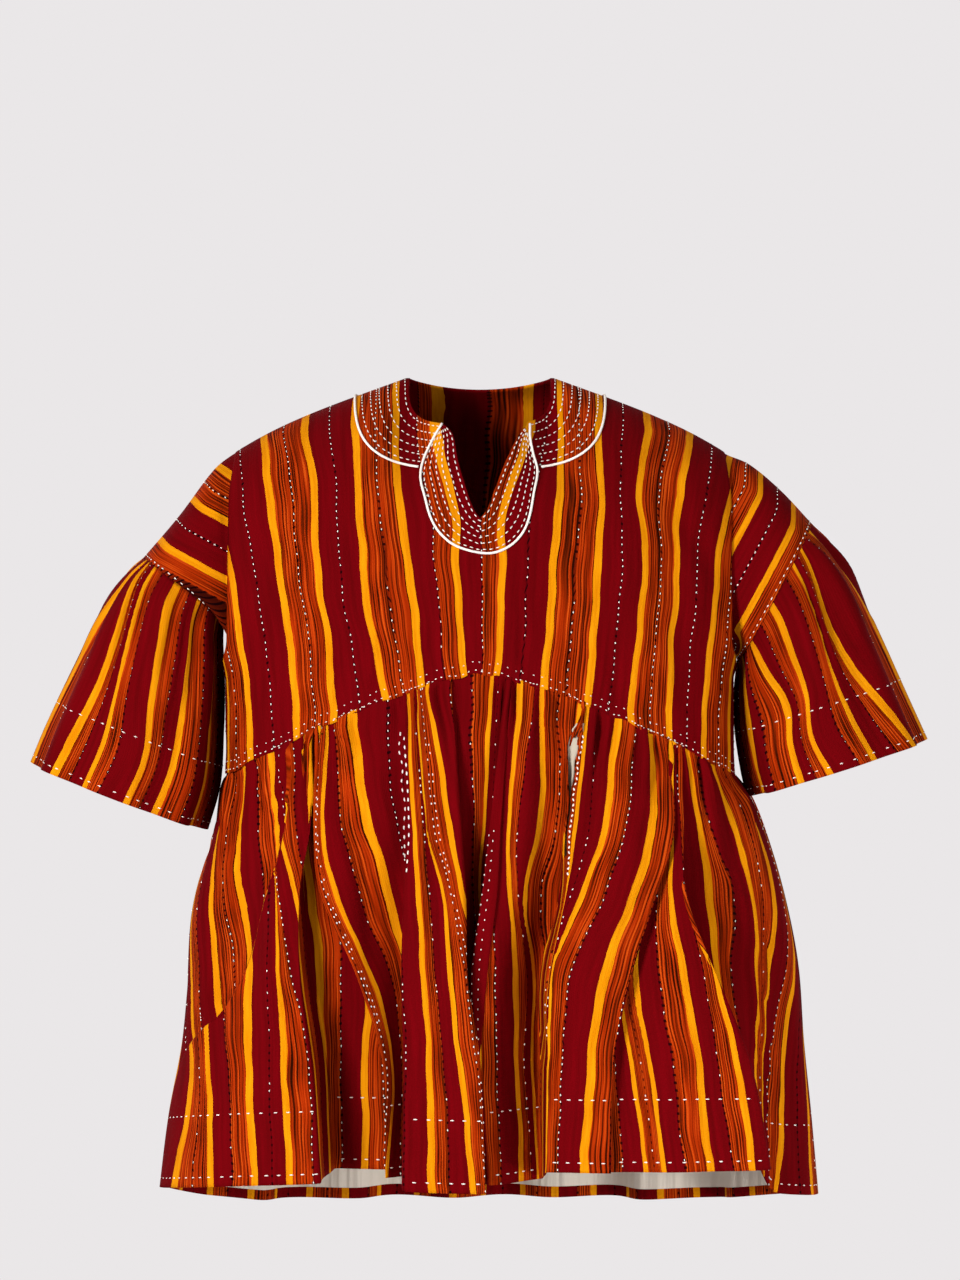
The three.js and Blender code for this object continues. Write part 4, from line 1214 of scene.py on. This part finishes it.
def pocketGrid(leftLip, rightLip):
    seamZ = float(seamHeight(leftLip["x"][0], "front"))
    seamY = float(-yokeDepth(leftLip["x"][0], seamZ, "front"))
    columns, (pastLeft, pastRight) = pocketLining["columns"], pocketLining["pastLips"]
    rows = []
    for z in np.linspace(pocketLining["top"], pocketLining["foot"], pocketLining["rows"]):
        left = foldAt(leftLip, z, seamZ)
        right = foldAt(rightLip, z, float(seamHeight(rightLip["x"][0], "front")))
        out = min(left[1], right[1]) - mix(*pocketLining["behind"], smoothstep(-z, 335, 380))
        bearings = np.linspace(left[0] - pastLeft, max(right[0], left[0]) + pastRight, columns)
        ripple = pocketLining["ripple"] * np.sin(np.linspace(0, 9, columns) + z / 30)
        row = skirtPoint(bearings, np.full(columns, z), out + ripple, "front")
        row[:, 1] = mix(seamY + 1, row[:, 1], smoothstep(seamZ - z, 0, 70))
        rows.append(row)
    return np.array(rows)


foldNamed = {fold["name"]: fold for fold in frontFolds}
points = pocketGrid(foldNamed["centre pleat"]["lines"][-1], foldNamed["right flare"]["lines"][0])
piece = clothObject("pocket_lining_cloth", points, np.zeros(points.shape[:2]), [lining])
declare(piece, "pocket_lining")


print("cords")
collar = {"halfWidth": 118, "drop": 90, "power": 3.6, "backRise": 12, "start": 57}
slitCord = [
    (-35, -47), (-45, -65), (-53, -84), (-55, -99), (-51, -117), (-46, -135), (-38, -149), (-24, -161),
    (-2, -168), (14, -168), (29, -161), (40, -149), (46, -134), (50, -112), (53, -92), (49, -76),
    (46, -60), (46, -47),
]
# lift: how far the cord's middle stands off the cloth, so that it is just laid on it
cord = {"radius": 1.15, "lift": 1.4, "sides": 8}


# White cord couched down in a line: round, smooth and a little raised
def tubeObject(name, path):
    radius, sides = cord["radius"], cord["sides"]
    ahead = np.gradient(path, axis=0)
    ahead /= np.linalg.norm(ahead, axis=1, keepdims=True)
    up = np.array([0.0, 0.0, 1.0])
    across = np.cross(ahead, up)
    across /= np.maximum(np.linalg.norm(across, axis=1, keepdims=True), 1e-6)
    for k in range(1, len(across)):
        if across[k] @ across[k - 1] < 0:
            across[k] *= -1
    over = np.cross(ahead, across)
    bm = bmesh.new()
    rings = []
    for place, a, o in zip(path, across, over):
        ring = []
        for turn in np.arange(sides) / sides * 2 * np.pi:
            ring.append(bm.verts.new((place + radius * (math.cos(turn) * a + math.sin(turn) * o)) / 1000))
        rings.append(ring)
    for low, high in zip(rings, rings[1:]):
        for k in range(sides):
            face = bm.faces.new([low[k], low[(k + 1) % sides], high[(k + 1) % sides], high[k]])
            face.smooth = True
    bm.faces.new(rings[0][::-1])
    bm.faces.new(rings[-1])
    bmesh.ops.recalc_face_normals(bm, faces=bm.faces)
    mesh = bpy.data.meshes.new(name)
    bm.to_mesh(mesh)
    bm.free()
    mesh.materials.append(thread)
    piece = bpy.data.objects.new(name, mesh)
    bpy.context.scene.collection.objects.link(piece)
    return piece


def onYoke(x, z, face, lift):
    nudge = 0.5
    here = yokePoint(x, z, face)
    across = yokePoint(x + nudge, z, face) - yokePoint(x - nudge, z, face)
    down = yokePoint(x, z - nudge, face) - yokePoint(x, z, face)
    normal = np.cross(down, across) * (1 if face == "front" else -1)
    normal /= np.linalg.norm(normal)
    return here + normal * lift, normal


def collarFront(side):
    halfWidth, power = collar["halfWidth"], collar["power"]
    start = math.asin(collar["start"] / halfWidth)
    x = halfWidth * np.sin(np.linspace(start, math.pi / 2, 44))
    z = -collar["drop"] * np.clip(1 - (x / halfWidth) ** power, 0, 1) ** (1 / power)
    return np.stack([side * x, np.minimum(z, ridgeHeight(x))], -1)


def cordPath(face, places):
    return [onYoke(x, z, face, cord["lift"])[0] for x, z in places]


backX = np.linspace(-collar["halfWidth"], collar["halfWidth"], 50)
shoulderZ = float(ridgeHeight(collar["halfWidth"]))
backZ = shoulderZ - collar["backRise"] * (1 - (backX / collar["halfWidth"]) ** 2)
path = cordPath("front", collarFront(-1)) + cordPath("back", zip(backX, backZ))
path += cordPath("front", collarFront(1)[::-1])
declare(tubeObject("couched_collar_cord", smoothPath(path, 220)), "collar_cord")
path = smoothPath(cordPath("front", smoothPath(slitCord, 120)), 120)
declare(tubeObject("couched_slit_cord", path), "slit_cord")


print("stitches")
# half the length, width and height of each kind of stitch
stitchSize = {
    "quilting": (2.0, 0.6, 0.45), "yoke edge": (1.1, 0.55, 0.4), "yoke hem": (0.9, 0.5, 0.4),
    "gathered seam": (1, 0.5, 0.4), "skirt hem": (2.1, 0.65, 0.5), "narrow fold": (1.0, 0.6, 0.45),
    "open lip": (1.7, 0.85, 0.6), "shut lip": (2.3, 0.95, 0.6), "shut edge": (2.2, 0.9, 0.6),
    "sleeve hem": (2.0, 0.6, 0.5), "sleeve seam": (0.6, 0.32, 0.25), "sleeve top": (1.6, 0.6, 0.45),
    "shoulder seam": (1.25, 0.62, 0.45),
}
# the bands of the slit and the collar are quilted with rows of running stitch, from the
# edge of the opening out to the cord
quilting = {"rows": 6, "pitch": 6.2, "lift": 0.3, "underRidge": 0.5}


def quiltingRow(places, face):
    onCloth = [onYoke(x, z, face, quilting["lift"]) for x, z in places]
    path, normals = np.array([here for here, _ in onCloth]), np.array([normal for _, normal in onCloth])
    length, pitch = lengthAlong(path), quilting["pitch"]
    at = np.arange(pitch / 2, length[-1] - 1, pitch)
    out = np.stack([np.interp(at, length, normals[:, i]) for i in range(3)], -1)
    return stitchesAt(path, length, at, out, stitchSize["quilting"])


def slitQuilting():
    foot = min(range(len(slitCord)), key=lambda k: slitCord[k][1])
    edgeLeft = smoothPath([(-x, z) for x, z in zip(slit["left"], slit["z"])], 40)
    edgeRight = smoothPath([(x, z) for x, z in zip(slit["right"], slit["z"])][::-1], 40)
    cordLeft, cordRight = smoothPath(slitCord[:foot + 1], 40), smoothPath(slitCord[foot:], 40)
    stitches = []
    for row in range(quilting["rows"]):
        share = (row + 0.45) / quilting["rows"]
        left, right = mix(edgeLeft, cordLeft, share), mix(edgeRight, cordRight, share)
        stitches += quiltingRow(np.concatenate([left[2:], right[1:-2]]), "front")
    return stitches


# From the neck (0) to the collar's cord (1)
collarShares = [(row + 0.5) / (quilting["rows"] + 0.3) for row in range(quilting["rows"])]


def collarFrontQuilting(side, lip):
    neck = body["neckHalfWidth"]
    x = mix(slit[lip][0], neck, np.linspace(0, 1, 40) ** 0.7)
    z = -body["frontNeckDrop"] * np.clip(1 - (x / neck) ** 4, 0, 1) ** 0.25
    inner, outer = smoothPath(np.stack([side * x, z], -1), 40), smoothPath(collarFront(side), 40)
    stitches = []
    for share in collarShares:
        places = mix(inner, outer, share)
        places[:, 1] = np.minimum(places[:, 1], ridgeHeight(places[:, 0]) - quilting["underRidge"])
        stitches += quiltingRow(places, "front")
    return stitches


def collarBackQuilting():
    stitches = []
    for share in collarShares:
        reach = mix(body["neckHalfWidth"], collar["halfWidth"], share)
        x = np.linspace(-reach, reach, 60)
        sag = 1 - (x / reach) ** 2
        inner = float(ridgeHeight(body["neckHalfWidth"])) - body["backNeckDrop"] * sag
        z = mix(inner, shoulderZ - collar["backRise"] * sag, share)
        stitches += quiltingRow(zip(x, np.minimum(z, ridgeHeight(x) - quilting["underRidge"])), "back")
    return stitches


stitches = slitQuilting() + collarFrontQuilting(-1, "left") + collarFrontQuilting(1, "right")
declareStitches(stitchObject("neck_embroidery", stitches + collarBackQuilting()))

stitches = []
for face in ("front", "back"):
    grid, strip = yokes[face]["points"], yokes[face]["strip"]
    last = grid.shape[1] - 3
    stitches += seamStitches(grid, strip, 0, grid.shape[1] - 1)
    stitches += hemStitches(grid, 3, 2, last, 6.5, stitchSize["yoke edge"], seed=2)
    stitches += hemStitches(grid, 11, 2, last, 8.5, stitchSize["yoke hem"], seed=3)
declareStitches(stitchObject("yoke_stitches", stitches))


# Stitches down a pocket's lip or a fold's edge, in turn in the given columns
def lipStitches(grid, columns, top, low, step, size):
    heights = np.arange(top, low, -step)
    columns = np.resize(columns, len(heights)).astype(float)
    rows = [np.interp(-z, -grid[:, round(c), 2], np.arange(len(grid))) for z, c in zip(heights, columns)]

    def halfway(length):
        return (length[1:] + length[:-1]) / 2

    return stitchLine(grid, outwardNormals(grid), rows, columns, halfway, size)


# seams whose stitches are plainly seen; on the others the thread has mostly sunk in
stitchedSeams = {
    -1: 0.85, 0: 0.6, 2: 0.1, 4: 0.85, 7: 0.9, 9: 0.8, 11: 0.9, 15: 0.7, 19: 0.75, 20: 0.6, 29: 0.85, 30: 0.6,
}
stitchedTwice = {7: 0.75, 11: 0.55}
skirtHem = {"above": (66, 9), "pitch": 12}
beyondTop = 1e6  # as high above the hem as this is the gathered seam itself


def skirtFrontStitches():
    grid, strip, folds = skirtFront["points"], skirtFront["strip"], skirtFront["folds"]
    last = grid.shape[1] - 1
    hemSize = stitchSize["skirt hem"]
    stitches = []
    for start, end in folds.values():
        stitches += seamStitches(grid, strip, start, end, kept=stitchedSeams, usual=0.3)
        for above in skirtHem["above"]:
            stitches += hemStitches(grid, above, start + 1, end - 1, skirtHem["pitch"], hemSize, seed=5)
    # the open pocket's lip is overcast, the other pocket is sewn shut with two rows
    lip, shut, narrow = [folds[name][0] for name in ("right flare", "centre flare", "narrow stitched fold")]
    stitches += lipStitches(grid, (lip + 0.1, lip + 1), -336, -470, 4.8, stitchSize["open lip"])
    stitches += lipStitches(grid, (shut + 0.2,), -336, -466, 8, stitchSize["shut lip"])
    stitches += lipStitches(grid, (shut - 8.6,), -332, -458, 8.6, stitchSize["shut edge"])
    for column in (narrow + 0.4, narrow + 2.4):
        top = -420 - 5 * column % 7
        stitches += lipStitches(grid, (column,), top, -738, 9, stitchSize["narrow fold"])
    # the second row of a seam that was sewn twice
    stitches += seamStitches(grid, strip - 0.13, 0, last, kept=stitchedTwice, usual=0)
    return stitches + hemStitches(grid, beyondTop, 1, last - 1, 7, stitchSize["gathered seam"], seed=6)


declareStitches(stitchObject("skirt_front_stitches", skirtFrontStitches()))

grid, strip = skirtBack["points"], skirtBack["strip"]
last = grid.shape[1] - 1
stitches = seamStitches(grid, strip, 0, last, usual=0.5)
for above in skirtHem["above"]:
    stitches += hemStitches(grid, above, 1, last - 1, skirtHem["pitch"], stitchSize["skirt hem"], seed=7)
declareStitches(stitchObject("skirt_back_stitches", stitches))


# Stitches round the arm, where a drop shoulder's count passes a whole number
def shoulderSeam(grid, strip, whole):
    rows, columns = [], []
    for column, counts in enumerate(strip.T):
        passed = np.nonzero((counts[:-1] < whole) & (counts[1:] >= whole))[0]
        if len(passed):
            k = passed[0]
            rows.append(k + (whole - counts[k]) / (counts[k + 1] - counts[k]))
            columns.append(column)

    def evenly(length):
        return np.arange(3.5, length[-1], 7)

    return stitchLine(grid, outwardNormals(grid), rows, columns, evenly, stitchSize["shoulder seam"])


for name, sleeve in sleeves.items():
    grid, strip = sleeve["flounceGrid"], sleeve["flounceCount"]
    last = grid.shape[1] - 1
    stitches = hemStitches(grid, 62, 0, last, 12, stitchSize["sleeve hem"], seed=8)
    stitches += hemStitches(grid, 7, 0, last, 12, stitchSize["sleeve hem"], seed=9)
    stitches += seamStitches(grid, strip, 0, last, size=stitchSize["sleeve seam"], usual=0.4)
    grid, strip = sleeve["shoulderGrid"], sleeve["shoulderCount"]
    stitches += hemStitches(grid, 3, 0, grid.shape[1] - 1, 7.5, stitchSize["sleeve top"], seed=10)
    for whole in (1, 2):
        stitches += shoulderSeam(grid, strip, whole)
    declareStitches(stitchObject(f"sleeve_stitches_{name}", stitches))


print("studio")
bpy.ops.mesh.primitive_circle_add(vertices=64, radius=3, fill_type="NGON", location=(0, 0, -1.45))
floor = bpy.context.object
floor.name = "floor"
floor.data.materials.append(newMaterial("pale studio floor", "E4E1E2", 0.9)[0])

# the plain transform keeps the dyes as saturated as they are
bpy.context.scene.view_settings.view_transform = "Standard"

world = bpy.data.worlds.new("studio")
bpy.context.scene.world = world
world.use_nodes = True
backdrop = world.node_tree.nodes["Background"]
backdrop.inputs["Color"].default_value = linear("EAE7E8")
# the studio is pale behind the smock and dim in front of it, so the folds keep their shade
heading = addNode(world.node_tree, "ShaderNodeTexCoord").outputs["Generated"]
behind = addNode(world.node_tree, "ShaderNodeSeparateXYZ", {0: heading}).outputs["Y"]
brightness = addNode(world.node_tree, "ShaderNodeMapRange", {
    0: behind, 1: -0.75, 2: 0.0, 3: 0.2, 4: 1.0,
}, interpolation_type="SMOOTHSTEP")
world.node_tree.links.new(brightness.outputs[0], backdrop.inputs["Strength"])


def addLight(name, place, aim, size, power, spread=180):
    light = bpy.data.lights.new(name, "AREA")
    light.size, light.energy, light.spread = size, power, math.radians(spread)
    lamp = bpy.data.objects.new(name, light)
    bpy.context.scene.collection.objects.link(lamp)
    lamp.visible_camera = False
    lamp.location = place
    direction = np.array(aim, float) - np.array(place, float)
    lamp.rotation_euler = (
        math.atan2(math.hypot(direction[0], direction[1]), -direction[2]), 0,
        math.atan2(direction[1], direction[0]) - math.pi / 2,
    )


addLight("key", (-1.85, -2.75, 0.1), (0.05, 0, -0.5), 0.9, 18.5, spread=60)
addLight("fill", (1.6, -2.9, -0.9), (0.15, 0, -0.65), 1.4, 15, spread=120)
addLight("low side", (1.25, -0.95, -0.95), (0.29, -0.05, -0.72), 0.4, 1.3, spread=60)
addLight("top", (0, 0.3, 2.2), (0, 0, -0.2), 2.2, 7)
addLight("behind", (-1.4, 3.0, 0.5), (0, 0.2, -0.4), 1.8, 14)

# a long lens, level with the middle of the frame
camera = bpy.data.cameras.new("front")
camera.sensor_fit = "VERTICAL"
camera.sensor_height = 24
camera.lens = 94.7
viewer = bpy.data.objects.new("front", camera)
bpy.context.scene.collection.objects.link(viewer)
viewer.location = (0, -4.8, -0.249)
viewer.rotation_euler = (math.pi / 2, 0, 0)
bpy.context.scene.camera = viewer
